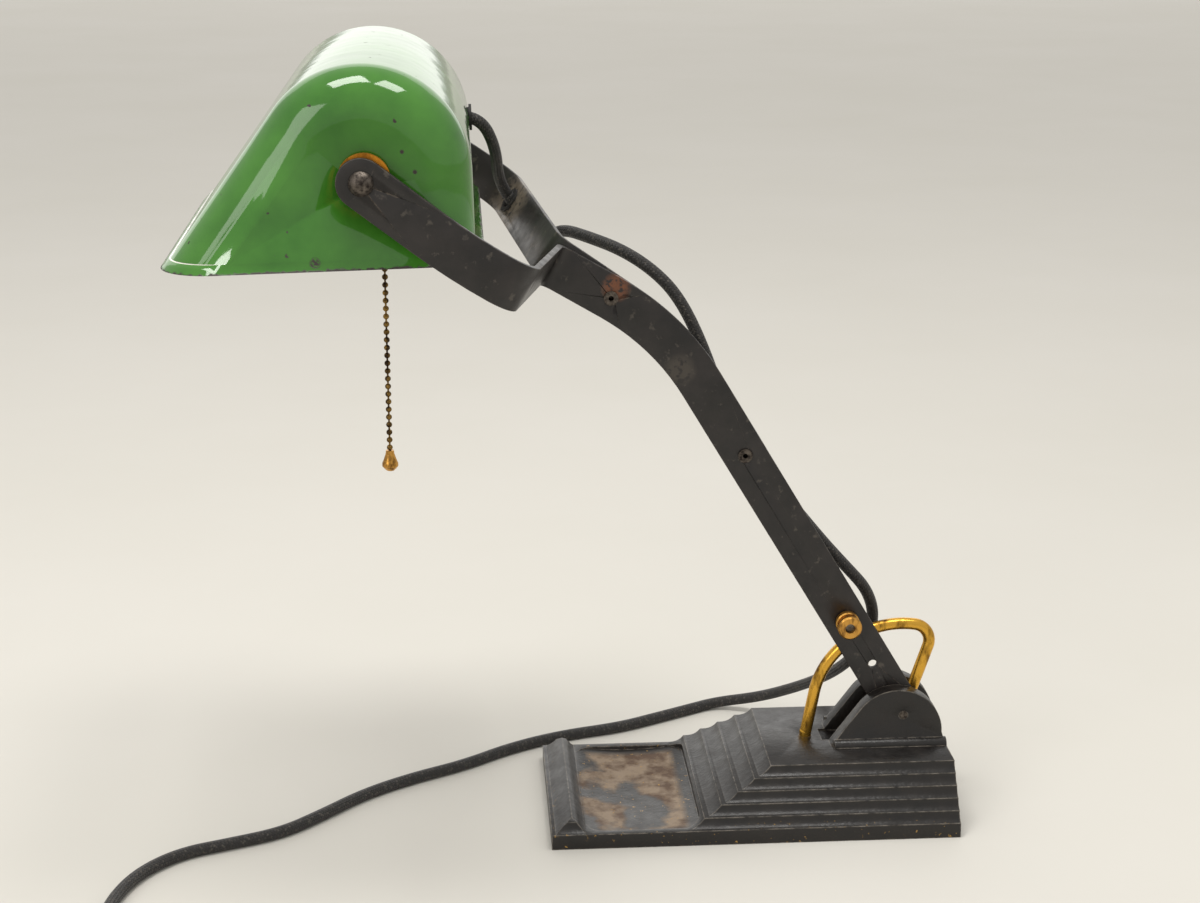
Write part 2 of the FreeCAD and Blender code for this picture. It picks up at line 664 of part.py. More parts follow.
def cord_direction():
    """The cord slants down through that hole."""
    down = polar(1, D.far_heading + 90)
    slant = math.radians(CORD_SLANT)
    return far_jog_normal() * math.cos(slant) + down * math.sin(slant)


def far_fork_bar():
    """Far bar: riveted behind the main bar, jogs out to the far side of the shade; the cord passes its jog."""
    meeting, knee = far_path()
    low = PIVOT + polar(D.lap_end + D.bar_width / 2, D.arm_lean)
    side = bar_outline([low, meeting, knee, AXIS], [D.arm_bend, D.knee_bend])
    bent = jog_sheet(meeting, D.far_heading, D.far_jog_start, D.far_jog_reach, (BAR_FAR + LAP_FAR) / 2,
                     (FORK_IN + FORK_OUT) / 2)
    holes = [through(p.x, p.z, D.rivet_diameter) for p in rivet_places()]
    holes.append(through(AXIS.x, AXIS.z, D.screw_diameter + 2 * D.running_gap))
    bore = D.cord_diameter + 4.5
    holes.append(Part.makeCylinder(bore / 2, 20, cord_hole() - far_jog_normal() * 10, far_jog_normal()))
    own_shape("far_fork_bar", side.common(bent).cut(Part.makeCompound(holes)))


def grommet(name, wall_back, wall_front, lip, clearance):
    """Rubber bushing: a bore, a neck as long as the wall is thick and a rim on both of its sides."""
    inner = "Sizes.cord_diameter / 2 + %g" % clearance
    neck = inner + " + 0.9"
    rim = inner + " + 2.4"
    return turned(name, [
        (inner, "%s - %g" % (wall_back, lip)), (rim, "%s - %g" % (wall_back, lip)), (rim, wall_back),
        (neck, wall_back), (neck, wall_front), (rim, wall_front), (rim, "%s + %g" % (wall_front, lip)),
        (inner, "%s + %g" % (wall_front, lip))])


def fork_grommet():
    """Bushing in the far jog that keeps the steel off the cord."""
    bushing = grommet("ForkGrommet", "-Sizes.bar_thickness / 2", "Sizes.bar_thickness / 2", 1.1, 1.35)
    bushing.Placement = Placement(cord_hole(), Rotation(Vector(0, 0, 1), far_jog_normal()))
    finished(bushing, "fork_grommet")


def arm_rivets():
    """Two tubular rivets, rolled over on both sides."""
    solids = []
    for p in rivet_places():
        shank = drum(D.rivet_diameter / 2, BAR_NEAR, LAP_FAR, p.x, p.z)
        heads = [drum(D.rivet_diameter / 2 + 1.1, BAR_NEAR - 0.7, BAR_NEAR, p.x, p.z),
                 drum(D.rivet_diameter / 2 + 1.6, LAP_FAR, LAP_FAR + 0.7, p.x, p.z)]
        solids.append(shank.multiFuse(heads).cut(drum(1.3, BAR_NEAR - 1, LAP_FAR - 1, p.x, p.z)))
    own_shape("arm_rivets", Part.makeCompound(solids))


def clip_place():
    """Centre of the cord where its clip holds it behind the arm."""
    y = LAP_FAR + 0.95 + D.cord_diameter / 2
    return PIVOT + polar(D.rivet_low + 9, D.arm_lean) + polar(5, D.arm_lean - 90) + Vector(0, y, 0)


def cord_clip():
    """Strap round the cord, with a tab that turns back on the bar."""
    centre = clip_place()
    along = polar(1, D.arm_lean)
    inner = D.cord_diameter / 2 + 0.15
    outer = inner + 0.8
    start = centre - along * 4
    ring = Part.makeCylinder(outer, 8, start, along)
    tab = Part.makeBox(8, 0.8, 8, Vector(-4, 0, -4))
    tab.rotate(Vector(), Vector(0, 1, 0), -(D.arm_lean - 90))
    tab.translate(Vector(centre.x, LAP_FAR, centre.z) + polar(-outer - 1, D.arm_lean - 90))
    bore = Part.makeCylinder(inner, 20, centre - along * 10, along)
    rivet = drum(D.rivet_diameter / 2 + 1.7, -20, 20, rivet_places()[0].x, rivet_places()[0].z)
    own_shape("cord_clip", ring.fuse(tab).cut(bore).cut(rivet))


def clamp_pieces():
    """Stud, plate and spool knob that pinch the guide hoop against the arm."""
    p = PIVOT + polar(D.knob_place, D.arm_lean)
    plate_low = D.hoop_rod / 2 + D.face_gap
    plate_high = plate_low + 3
    stud = drum(D.stud_diameter / 2, BAR_NEAR - D.knob_length + 2.2, plate_high, p.x, p.z)
    head = drum(5.6, plate_high, plate_high + 2.6, p.x, p.z)
    dome = Part.makeSphere(7.4, Vector(p.x, plate_high - 4.1, p.z))
    own_shape("clamp_stud", stud.fuse(head.common(dome)))
    inner_end, outer_end = 33.5, D.knob_place + 7
    plate = Part.makeBox(outer_end - inner_end, plate_high - plate_low, D.plate_width,
                         Vector(inner_end, plate_low, -D.plate_width / 2))
    heel = Part.makeBox(5.5, plate_low - BAR_FAR, D.plate_width, Vector(inner_end, BAR_FAR, -D.plate_width / 2))
    plate = plate.fuse(heel).removeSplitter()
    corners = [e for e in plate.Edges if abs(e.tangentAt(0).y) > 0.9 and e.CenterOfMass.x > outer_end - 1]
    plate = plate.makeFillet(5, corners)
    plate.rotate(Vector(), Vector(0, 1, 0), -D.arm_lean)
    plate.translate(PIVOT)
    own_shape("clamp_plate", plate.cut(through(p.x, p.z, D.stud_diameter)))
    bore = "Sizes.stud_diameter / 2 + Sizes.running_gap"
    flange = "Sizes.knob_diameter / 2"
    waist = "Sizes.knob_waist / 2"
    top = "Sizes.knob_length"
    profile = [
        (bore, "0"),
        (flange + " - 0.8", "0"),
        (flange, "0.8"),
        (flange, "3.4"),
        (flange + " - 0.6", "4"),
        (waist, "4"),
        (waist, top + " - 2.9"),
        (flange + " - 0.6", top + " - 2.9"),
        (flange, top + " - 2.3"),
        (flange, top + " - 0.8"),
        (flange + " - 0.8", top),
        (bore, top),
    ]
    knob = turned("ClampKnob", profile)
    knob.Placement = Placement(Vector(p.x, BAR_NEAR - 0.2, p.z), Rotation(Vector(0, 0, 1), Vector(0, -1, 0)))
    finished(knob, "clamp_knob")


# ---------------------------------------------------------------- shade

def shade_outline(inset):
    """Side view of the shade about its axis: round top, sloping front panel, upright back."""
    radius = D.shade_radius - inset
    slope = math.radians(D.shade_slope)
    touch = Vector(-radius * math.sin(slope), 0, radius * math.cos(slope))
    mouth = -D.shade_mouth
    front = Vector(touch.x - (touch.z - mouth) / math.tan(slope), 0, mouth)
    rear = Vector(radius, 0, mouth)
    rim = Vector(radius, 0, 0)
    crown = polar(radius, (90 + D.shade_slope) / 2)
    edges = [
        Part.LineSegment(front, rear).toShape(),
        Part.LineSegment(rear, rim).toShape(),
        Part.Arc(rim, crown, touch).toShape(),
        Part.LineSegment(touch, front).toShape(),
    ]
    return Part.Wire(edges)


def shade_block(inset):
    """Solid of the shade's outside, or of its inside when inset by the wall."""
    half = D.shade_half - inset
    solid = Part.Face(shade_outline(inset)).extrude(Vector(0, 2 * half, 0))
    solid.translate(Vector(0, -half, 0))
    mouth = -D.shade_mouth
    ends = [e for e in solid.Edges
            if abs(abs(e.CenterOfMass.y) - half) < 1e-3 and e.BoundBox.ZMax > mouth + 1]
    return solid.makeFillet(D.shade_corner - inset, ends)


def mouth_loop(grow, z):
    """Rounded rectangle of the mouth, grown outwards, at a height."""
    wire = shade_outline(0)
    box = wire.BoundBox
    x0, x1 = box.XMin - grow, box.XMax + grow
    half = D.shade_half + grow
    r = D.shade_corner + grow
    front_r = r
    corners = [Vector(x0, -half, z), Vector(x1, -half, z), Vector(x1, half, z), Vector(x0, half, z)]
    edges = []
    count = len(corners)
    trimmed = []
    for i, corner in enumerate(corners):
        start, middle, end = tangent_arc(corners[i - 1], corner, corners[(i + 1) % count], front_r)
        trimmed.append((start, middle, end))
    for i, (start, middle, end) in enumerate(trimmed):
        edges.append(Part.Arc(start, middle, end).toShape())
        edges.append(Part.LineSegment(end, trimmed[(i + 1) % count][0]).toShape())
    return Part.Wire(edges)


def shade_place():
    """The shade stands on its axis, tipped a little."""
    return Placement(AXIS, Rotation(Vector(0, -1, 0), D.shade_tip))


def shade():
    """One drawn sheet: the body, its two ends and the turned-out lip, with holes for the screws and the cord."""
    shell = shade_block(0).cut(shade_block(D.shade_wall))
    below = Part.makeBox(400, 400, D.shade_wall, Vector(-200, -200, -D.shade_mouth))
    shell = shell.cut(below)
    top = -D.shade_mouth + D.shade_wall
    bottom = top - D.lip_flare
    outer = Part.makeLoft([mouth_loop(0, top), mouth_loop(D.lip_flare, bottom)], True, True)
    inner = Part.makeLoft([mouth_loop(-D.shade_wall, top), mouth_loop(D.lip_flare - D.shade_wall, bottom)],
                          True, True)
    shell = shell.fuse(outer.cut(inner))
    holes = [drum(D.screw_diameter / 2 + D.running_gap, -200, 200, 0, 0)]
    holes.append(Part.makeCylinder(D.cord_diameter / 2 + 2, 40, Vector(20, D.exit_side, D.exit_rise),
                                   Vector(1, 0, 0)))
    own_shape("shade", shell.cut(Part.makeCompound(holes)), shade_place())


def shade_grommet():
    """Bushing where the cord leaves the shade's back."""
    bushing = grommet("ShadeGrommet", "-Sizes.shade_wall", "0", 1.4, 1.1)
    local = Placement(Vector(D.shade_radius, D.exit_side, D.exit_rise), Rotation(Vector(0, 0, 1), Vector(1, 0, 0)))
    bushing.Placement = shade_place() * local
    finished(bushing, "shade_grommet")


def axis_group(label, build):
    """Two like pieces, one at each end of the shade."""
    solids = []
    for side in (-1, 1):
        solid = build()
        if side < 0:
            solid = solid.mirror(Vector(), Vector(0, 1, 0))
        solid.translate(AXIS)
        solids.append(solid)
    own_shape(label, Part.makeCompound(solids))


def shade_pivots():
    """Domed screws, brass friction washers and inner nuts on the shade's axis."""
    screw_end = D.shade_half - 9.5
    head_base = FORK_OUT + 0.1
    half = D.screw_diameter / 2

    def screw():
        shank = drum(half, screw_end, head_base, 0, 0)
        head = drum(D.screw_head / 2, head_base, head_base + 4, 0, 0)
        dome = Part.makeSphere(6.2, Vector(0, head_base - 2.6, 0))
        return shank.fuse(head.common(dome))

    def washer():
        collar = drum(7.5, D.shade_half, D.shade_half + 1.8, 0, 0)
        disc = drum(D.brass_washer / 2, D.shade_half + 1.8, FORK_IN - 0.1, D.washer_shift, D.washer_shift)
        return collar.fuse(disc).cut(drum(half, 0, 200, 0, 0))

    def nut():
        inner_face = D.shade_half - D.shade_wall - 1.5
        return hexagon(10, inner_face - 5, inner_face, 0, 0).cut(drum(half, 0, 200, 0, 0))

    axis_group("pivot_screws", screw)
    axis_group("friction_washers", washer)
    axis_group("pivot_nuts", nut)
    inner_face = D.shade_half - D.shade_wall
    plain = drum(8, -inner_face, -inner_face + 1.5, AXIS.x, AXIS.z)
    own_shape("inner_washer", plain.cut(drum(half, -200, 0, AXIS.x, AXIS.z)))


# ---------------------------------------------------------------- lampholder, bulb and switch

BRACKET_RISE = 25
BRACKET_GAUGE = 1.5


def holder_bracket():
    """Steel strip clamped by the far pivot nut, stepped inwards to carry the lampholder on the axis."""
    outer = D.shade_half - D.shade_wall
    hang = D.holder_back + 3
    gauge = BRACKET_GAUGE
    profile = [(outer, -9), (outer, BRACKET_RISE), (hang, BRACKET_RISE), (hang, -12),
               (hang + gauge, -12), (hang + gauge, BRACKET_RISE - gauge), (outer - gauge, BRACKET_RISE - gauge),
               (outer - gauge, -9), (outer, -9)]
    wire = Part.makePolygon([Vector(-9, y, z) for y, z in profile])
    strip = Part.Face(wire).extrude(Vector(18, 0, 0))
    strip.translate(AXIS)
    pivot_hole = drum(D.screw_diameter / 2 + D.running_gap, hang + 6, outer + 1, AXIS.x, AXIS.z)
    nipple_hole = drum(5, hang - 1, hang + 3, AXIS.x, AXIS.z)
    own_shape("holder_bracket", strip.cut(pivot_hole).cut(nipple_hole))
    nipple = drum(5, hang - 8, hang + gauge + 4, AXIS.x, AXIS.z)
    own_shape("holder_nipple", nipple.cut(drum(3.9, hang - 20, hang + 20, AXIS.x, AXIS.z)))
    nut = hexagon(14, hang + gauge, hang + gauge + 3, AXIS.x, AXIS.z)
    own_shape("holder_locknut", nut.cut(drum(5, hang, hang + 20, AXIS.x, AXIS.z)))


def holder_body(name, label, profile):
    """Turned piece on the shade's axis; heights are y from the lamp's middle."""
    piece = turned(name, profile)
    piece.Placement = Placement(AXIS, Rotation(Vector(0, 0, 1), Vector(0, 1, 0)))
    finished(piece, label)


def lampholder():
    """Screw cap, outer shell and threaded liner of the lampholder."""
    back = "Sizes.holder_back + 3"
    seam = "Sizes.holder_back - 14"
    front = "Sizes.holder_front"
    wide = "Sizes.holder_diameter / 2"
    holder_body("HolderCap", "holder_cap", [
        ("5", back), ("9", back), ("12", "Sizes.holder_back"), (wide, "Sizes.holder_back - 7"), (wide, seam),
        (wide + " - 1.5", seam), (wide + " - 1.5", "Sizes.holder_back - 6"), ("5", "Sizes.holder_back - 4")])
    holder_body("HolderShell", "holder_shell", [
        (wide, seam), (wide, front + " + 2"), (wide + " + 1", front + " + 1"), (wide + " + 1", front),
        (wide + " - 2", front), (wide + " - 2", seam + " - 0.05"), (wide + " - 1.6", seam + " - 0.05"),
        (wide + " - 1.6", seam)])
    holder_body("HolderLiner", "holder_liner", [
        (wide + " - 2", front + " + 3"), (wide + " - 2", seam + " - 3"), ("4", seam + " - 3"),
        ("4", seam + " - 4.5"), (wide + " - 3", seam + " - 4.5"), (wide + " - 3", front + " + 3")])


def bulb():
    """Brass screw cap and glass of the bulb."""
    front = "Sizes.holder_front"
    holder_body("BulbCap", "bulb_cap", [
        ("0", front + " + 24.5"), ("4.5", front + " + 24.5"), ("6", front + " + 22"), ("13.2", front + " + 19"),
        ("13.2", front + " - 1"), ("0", front + " - 1")])
    ball = "Sizes.bulb_diameter / 2"
    glass = 0.8
    outside = [("12.4", 1), ("14", 12), ("20", 27), (ball, 48), (ball + " * 0.93", 59), (ball + " * 0.68", 69),
               (ball + " * 0.36", 74)]
    outer = [(across, "%s - %g" % (front, depth)) for across, depth in outside]
    inner = [("%s - %g" % (across, glass), "%s - %g" % (front, depth - 0.2 * (depth > 60)))
             for across, depth in reversed(outside)]
    crown = [("0", front + " - 76"), ("0", "%s - %g" % (front, 76 - glass))]
    holder_body("BulbGlass", "bulb_glass", outer + crown + inner)


def switch_and_chain():
    """Pull lever of the lampholder, the ball chain on it and the little bell at its end."""
    holder_under = AXIS.z - D.holder_diameter / 2
    x, y = D.chain_place, D.chain_side
    hole = Part.makeCylinder(2.3, 6, Vector(x, y, holder_under - 1.2), Vector(0, 0, 1))
    collar = Part.makeCylinder(3.6, 4.2, Vector(x, y, holder_under - 3.4), Vector(0, 0, 1))
    shell_round = drum(D.holder_diameter / 2 + 0.02, y - 10, y + 10, AXIS.x, AXIS.z)
    bore = Part.makeCylinder(1.55, 20, Vector(x, y, holder_under - 9), Vector(0, 0, 1))
    own_shape("switch_collar", collar.cut(shell_round).cut(bore))
    lever = Part.makeCylinder(1.5, 9, Vector(x, y, holder_under - 9.6), Vector(0, 0, 1))
    lug = Part.makeSphere(2.6, Vector(x, y, holder_under - 10.4))
    own_shape("switch_lever", lever.cut(shell_round).fuse(lug))
    top = holder_under - 10.4 - 2.6 - 0.3
    balls = [Part.makeSphere(D.chain_ball / 2, Vector(x, y, top - D.chain_ball / 2 - D.chain_pitch * k))
             for k in range(int(D.chain_total))]
    length = D.chain_pitch * (D.chain_total - 1)
    wire = Part.makeCylinder(0.5, length, Vector(x, y, top - D.chain_ball / 2 - length), Vector(0, 0, 1))
    own_shape("pull_chain", wire.multiFuse(balls))
    bell_top = top - D.chain_ball - length
    profile = [("0", "-11"), ("2.2", "-11"), ("3.2", "-10"), ("4.3", "-8.6"), ("4.3", "-7.2"), ("3.4", "-5"),
               ("2.4", "-2"), ("2.1", "0"), ("0", "0")]
    bell = turned("ChainBell", profile)
    bell.Placement = Placement(Vector(x, y, bell_top), Rotation())
    finished(bell, "chain_bell")
    return hole


# ---------------------------------------------------------------- cord, coil and plug

def bush_place():
    """Where the cord enters the side of the lampholder, and the direction towards the shade's hole."""
    hole = shade_place().multVec(Vector(D.shade_radius, D.exit_side, D.exit_rise))
    start = AXIS + Vector(D.holder_diameter / 2 * math.cos(math.radians(21)), D.exit_side,
                          D.holder_diameter / 2 * math.sin(math.radians(21)))
    return start, (hole - start).normalize()


def cord_bush():
    """Short brass collar on the lampholder's side."""
    start, along = bush_place()
    collar = Part.makeCylinder(D.cord_diameter / 2 + 1.3, 8, start - along * 3, along)
    bore = Part.makeCylinder(D.cord_diameter / 2 + 0.1, 20, start - along * 8, along)
    holder = drum(D.holder_diameter / 2 + 0.02, 0, 100, AXIS.x, AXIS.z)
    own_shape("cord_bush", collar.cut(bore).cut(holder))


def cords():
    """Cord in four tubes: lampholder to fork, along the arm, down to the table, over the table."""
    half = D.cord_diameter / 2
    start, out = bush_place()
    hole = cord_hole()
    straight = cord_direction()
    clip = clip_place()
    arm = polar(1, D.arm_lean)
    first = [
        start + out * 1.6,
        start + out * 38,
        Vector(-126.5, 68, 338),
        hole - straight * 14,
        hole - straight * 5,
    ]
    tube("cord_shade", first)
    turn = (straight + Vector(0, -1, 0)).normalize()
    second = [
        hole - straight * 5,
        hole + straight * 9,
        hole + straight * 9 + turn * 16,
        Vector(-99, 62, 293.5),
        Vector(-92.5, 44, 299.6),
        Vector(-82, 30, 298.6),
        Vector(-66, 14, 295),
        Vector(-51, 8.5, 286),
        Vector(-38.5, 6.6, 273.4),
        Vector(-27.5, 5, 252.5),
        clip + arm * 22,
        clip - arm * 14,
    ]
    tube("cord_arm", second)
    third = [
        clip - arm * 14,
        clip - arm * 33,
        Vector(36.5, 6, 144.5),
        Vector(52, 10, 126.5),
        Vector(66, 14, 110.5),
        Vector(71.3, 20, 91),
        Vector(67, 33, 69),
        Vector(60, 50, 52),
        Vector(52.5, 70, 37),
        Vector(41, 92, 22),
        Vector(24, 108, 10),
        Vector(0, 118, half),
        Vector(-18, 108.3, half),
    ]
    tube("cord_drop", third)
    edge = coil_centre() + Vector(D.coil_outer - half, 0, half)
    fourth = [
        third[-1],
        third[-1] + (third[-1] - third[-2]) * 1.1,
        Vector(-60, 86, half),
        Vector(-92, 77.5, half),
        Vector(-122, 63, half),
        Vector(-149, 42, half),
        Vector(-176, 28, half),
        Vector(-202, 10, half),
        Vector(-225, -15, half),
        Vector(-243, -32, half),
        Vector(-268, -42, half),
        Vector(-292, -51, half),
        Vector(-310, -71, half),
        Vector(-318.5, -96, half),
        Vector(-320, -120, half),
        Vector(edge.x + 0.5, -142, half),
        edge + Vector(0, 12, 0),
    ]
    tube("cord_floor", fourth)
    neck = plug_place()
    tail = [
        edge + Vector(0, -12, 0),
        neck.multVec(Vector(-15, 0, 0)) + Vector(0, 1, 0),
        neck.multVec(Vector(-6, 0, 0)),
        neck.multVec(Vector(0.5, 0, 0)),
    ]
    tail[1].z = half
    tail[2].z = max(tail[2].z, half)
    tube("cord_tail", tail)


def coil_centre():
    return Vector(-354, -178, 0)


def plug_place():
    """The plug rests on its face's rim and on its cord end, so its axis rises towards the pins."""
    tilt = math.degrees(math.atan2((D.plug_diameter - D.plug_neck) / 2, D.plug_cone))
    height = D.plug_neck / 2 * math.cos(math.radians(tilt)) + 0.05
    turn = Rotation(Vector(0, 0, 1), -84).multiply(Rotation(Vector(0, 1, 0), -tilt))
    return Placement(Vector(-314.4, -220, height), turn)


def coil_and_plug():
    """Unseen length of the cord as a neat coil, and the plug that lies beside it."""
    centre = coil_centre()
    shape = [("Sizes.coil_inner", "1.5"), ("Sizes.coil_inner + 1.5", "0"), ("Sizes.coil_outer - 1.5", "0"),
             ("Sizes.coil_outer", "1.5"), ("Sizes.coil_outer", "Sizes.coil_height - 4"),
             ("Sizes.coil_outer - 4", "Sizes.coil_height"), ("Sizes.coil_inner + 4", "Sizes.coil_height"),
             ("Sizes.coil_inner", "Sizes.coil_height - 4")]
    coil = turned("CordCoil", shape)
    coil.Placement = Placement(centre, Rotation())
    finished(coil, "cord_coil")


def plug():
    """Round two-pin plug: cover, face, pins and the screw that holds them together."""
    place = plug_place()
    to_axis = Rotation(Vector(0, 0, 1), Vector(1, 0, 0))
    neck = "Sizes.plug_neck / 2"
    rim = "Sizes.plug_diameter / 2"
    cone = "Sizes.plug_cone"
    cover = turned("PlugCover", [
        ("Sizes.cord_diameter / 2 + 0.1", "0"), (neck, "0"), (neck + " + 1.5", "9"), (rim + " - 2.5", cone + " - 5"),
        (rim, cone), (rim, cone + " + 2"), (rim + " - 2", cone + " + 2"), (rim + " - 5", cone + " - 3"),
        ("Sizes.cord_diameter / 2 + 0.1", "10")])
    cover.Placement = place * Placement(Vector(), to_axis)
    finished(cover, "plug_cover")
    pins = []
    face_base = D.plug_cone + 2
    face_top = D.plug_cone + D.plug_disc
    for side in (-1, 1):
        spot = Vector(face_base + 1, side * D.plug_pin_spacing / 2, 0)
        pin = Part.makeCylinder(D.plug_pin / 2, D.plug_disc - 3 + D.plug_pin_length, spot, Vector(1, 0, 0))
        tip = [e for e in pin.Edges if e.CenterOfMass.x > face_top + 5 and e.Closed]
        pins.append(pin.makeFillet(1.6, tip))
    disc = Part.makeCylinder(D.plug_diameter / 2, face_top - face_base, Vector(face_base, 0, 0), Vector(1, 0, 0))
    rim_edge = [e for e in disc.Edges if e.Closed and e.CenterOfMass.x > face_top - 0.1]
    disc = disc.makeFillet(2, rim_edge).cut(Part.makeCompound(pins))
    screw = Part.makeCylinder(1.5, 10, Vector(face_top - 10.8, 0, 0), Vector(1, 0, 0))
    screw_head = Part.makeCylinder(3, 1.8, Vector(face_top - 2.6, 0, 0), Vector(1, 0, 0))
    sink = Part.makeCylinder(3.1, 6, Vector(face_top - 2.6, 0, 0), Vector(1, 0, 0))
    bore = Part.makeCylinder(1.5, 12, Vector(face_top - 11, 0, 0), Vector(1, 0, 0))
    slot = Part.makeBox(2, 8, 0.8, Vector(face_top - 1.6, -4, -0.4))
    own_shape("plug_face", disc.cut(sink).cut(bore), place)
    own_shape("plug_pins", Part.makeCompound(pins), place)
    own_shape("plug_screw", screw.fuse(screw_head).cut(slot), place)


base_casting()
guide_hoop()
hinge_pieces()
main_arm_bar()
far_fork_bar()
fork_grommet()
arm_rivets()
cord_clip()
clamp_pieces()
shade()
shade_grommet()
shade_pivots()
holder_bracket()
lampholder()
bulb()
switch_and_chain()
cord_bush()
cords()
coil_and_plug()
plug()

doc.recompute()

for thing in doc.Objects:
    if {"Invalid", "Error"} & set(thing.State):
        raise RuntimeError("%s did not build: %s" % (thing.Label, thing.State))
os.makedirs("parts", exist_ok=True)
for thing in nodes:
    shape = thing.Shape
    if shape.isNull() or not shape.isValid() or shape.Volume <= 0 or not shape.Solids:
        raise RuntimeError("%s has no sound shape" % thing.Label)
    shape.exportStep("parts/%s.step" % thing.Label)
    print("%-18s %9.1f mm3  %d solid(s)" % (thing.Label, shape.Volume, len(shape.Solids)))
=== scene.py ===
"""Banker's desk lamp: finishes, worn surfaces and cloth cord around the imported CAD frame."""
import math

import bpy
import numpy as np
from mathutils import Matrix, Vector


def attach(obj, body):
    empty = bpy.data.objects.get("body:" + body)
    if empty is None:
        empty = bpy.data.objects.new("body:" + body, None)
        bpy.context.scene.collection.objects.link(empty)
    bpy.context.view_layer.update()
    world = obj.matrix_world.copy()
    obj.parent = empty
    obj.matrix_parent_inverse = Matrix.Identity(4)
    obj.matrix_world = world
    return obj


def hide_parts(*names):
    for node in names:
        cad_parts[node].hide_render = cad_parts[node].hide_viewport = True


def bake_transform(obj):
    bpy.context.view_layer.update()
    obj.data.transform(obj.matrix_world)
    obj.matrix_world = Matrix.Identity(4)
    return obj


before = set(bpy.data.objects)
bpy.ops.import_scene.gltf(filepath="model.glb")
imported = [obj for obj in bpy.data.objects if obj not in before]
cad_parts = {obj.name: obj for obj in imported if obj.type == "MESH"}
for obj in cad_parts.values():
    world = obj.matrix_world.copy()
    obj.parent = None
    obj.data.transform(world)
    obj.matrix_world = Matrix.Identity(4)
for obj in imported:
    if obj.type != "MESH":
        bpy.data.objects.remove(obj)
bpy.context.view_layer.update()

MM = 0.001
CORD_RADIUS = 3.1 * MM
SHADE_AXIS = (-0.188079, 0.0, 0.350385)
SHADE_LEAN = math.radians(1.5)


def srgb(code):
    """Linear RGBA of an sRGB hex colour: each channel is ((c + 0.055) / 1.055) ** 2.4 above the toe."""
    channels = [int(code[i:i + 2], 16) / 255 for i in (0, 2, 4)]
    return [c / 12.92 if c <= 0.04045 else ((c + 0.055) / 1.055) ** 2.4 for c in channels] + [1.0]


def per_mm(size):
    """Noise scale, in cells per metre, of a pattern whose features are size millimetres."""
    return 1000.0 / size


# ---------------------------------------------------------------- camera

def make_camera():
    """Camera from its heading to the right of +Y, its fall below the horizon and its roll."""
    heading, fall, roll = 0.0708, 0.2941, 0.002
    ahead = Vector((math.sin(heading) * math.cos(fall), math.cos(heading) * math.cos(fall), -math.sin(fall)))
    level = Vector((math.cos(heading), -math.sin(heading), 0))
    upright = level.cross(ahead)
    right = level * math.cos(roll) + upright * math.sin(roll)
    up = upright * math.cos(roll) - level * math.sin(roll)
    data = bpy.data.cameras.new("camera")
    data.sensor_width = 36
    data.sensor_fit = "HORIZONTAL"
    data.lens = 62.34
    data.clip_start, data.clip_end = 0.01, 60
    camera = bpy.data.objects.new("camera", data)
    bpy.context.scene.collection.objects.link(camera)
    turn = Matrix((right, up, -ahead)).transposed().to_4x4()
    camera.matrix_world = Matrix.Translation((-0.14833, -1.00234, 0.49856)) @ turn
    bpy.context.scene.camera = camera


make_camera()


# ---------------------------------------------------------------- meshes

def mesh_piece(name, grid, closed, uv=None):
    """Skin over a grid of points (rows x columns x 3), its columns closed round where closed is true.

    Each cell is one quad; the first and last rows end in a fan to their own middle point.
    """
    rows, columns = grid.shape[:2]
    points = np.vstack([grid.reshape(-1, 3), grid[0].mean(0), grid[-1].mean(0)])
    index = np.arange(rows * columns).reshape(rows, columns)
    after = np.roll(index, -1, axis=1) if closed else index[:, 1:]
    here = index if closed else index[:, :-1]
    quads = np.stack([here[:-1], after[:-1], after[1:], here[1:]], -1).reshape(-1, 4)
    faces = quads.tolist()
    if closed:
        first, last = rows * columns, rows * columns + 1
        faces += np.stack([np.full(columns, first), after[0], here[0]], -1).tolist()
        faces += np.stack([np.full(columns, last), here[-1], after[-1]], -1).tolist()
    mesh = bpy.data.meshes.new(name)
    mesh.from_pydata(points.tolist(), [], faces)
    mesh.shade_smooth()
    piece = bpy.data.objects.new(name, mesh)
    bpy.context.scene.collection.objects.link(piece)
    if uv is not None:
        layer = mesh.uv_layers.new(name="round_and_along")
        corner = np.zeros(len(mesh.loops), np.int32)
        mesh.loops.foreach_get("vertex_index", corner)
        flat = np.vstack([uv.reshape(-1, 2), uv[0].mean(0), uv[-1].mean(0)])[corner]
        starts = np.zeros(len(mesh.polygons), np.int32)
        totals = np.zeros(len(mesh.polygons), np.int32)
        mesh.polygons.foreach_get("loop_start", starts)
        mesh.polygons.foreach_get("loop_total", totals)
        face_of = np.repeat(np.arange(len(starts)), totals)
        highest = np.maximum.reduceat(flat[:, 0], starts)[face_of]
        flat[:, 0] += (highest - flat[:, 0] > 0.5)
        layer.data.foreach_set("uv", flat.ravel())
    return piece


def route_line(name, route):
    """Points of the smooth NURBS of order 3 whose control points are the route's, and the curve is removed again."""
    curve = bpy.data.curves.new(name + "_route", "CURVE")
    curve.dimensions = "3D"
    curve.resolution_u = 10
    spline = curve.splines.new("NURBS")
    spline.points.add(len(route) - 1)
    spline.points.foreach_set("co", np.c_[route, np.ones(len(route))].ravel())
    spline.order_u = 3
    spline.use_endpoint_u = True
    holder = bpy.data.objects.new(name + "_route", curve)
    bpy.context.scene.collection.objects.link(holder)
    mesh = bpy.data.meshes.new_from_object(holder)
    line = np.zeros(len(mesh.vertices) * 3)
    mesh.vertices.foreach_get("co", line)
    bpy.data.objects.remove(holder)
    bpy.data.meshes.remove(mesh)
    return line.reshape(-1, 3)


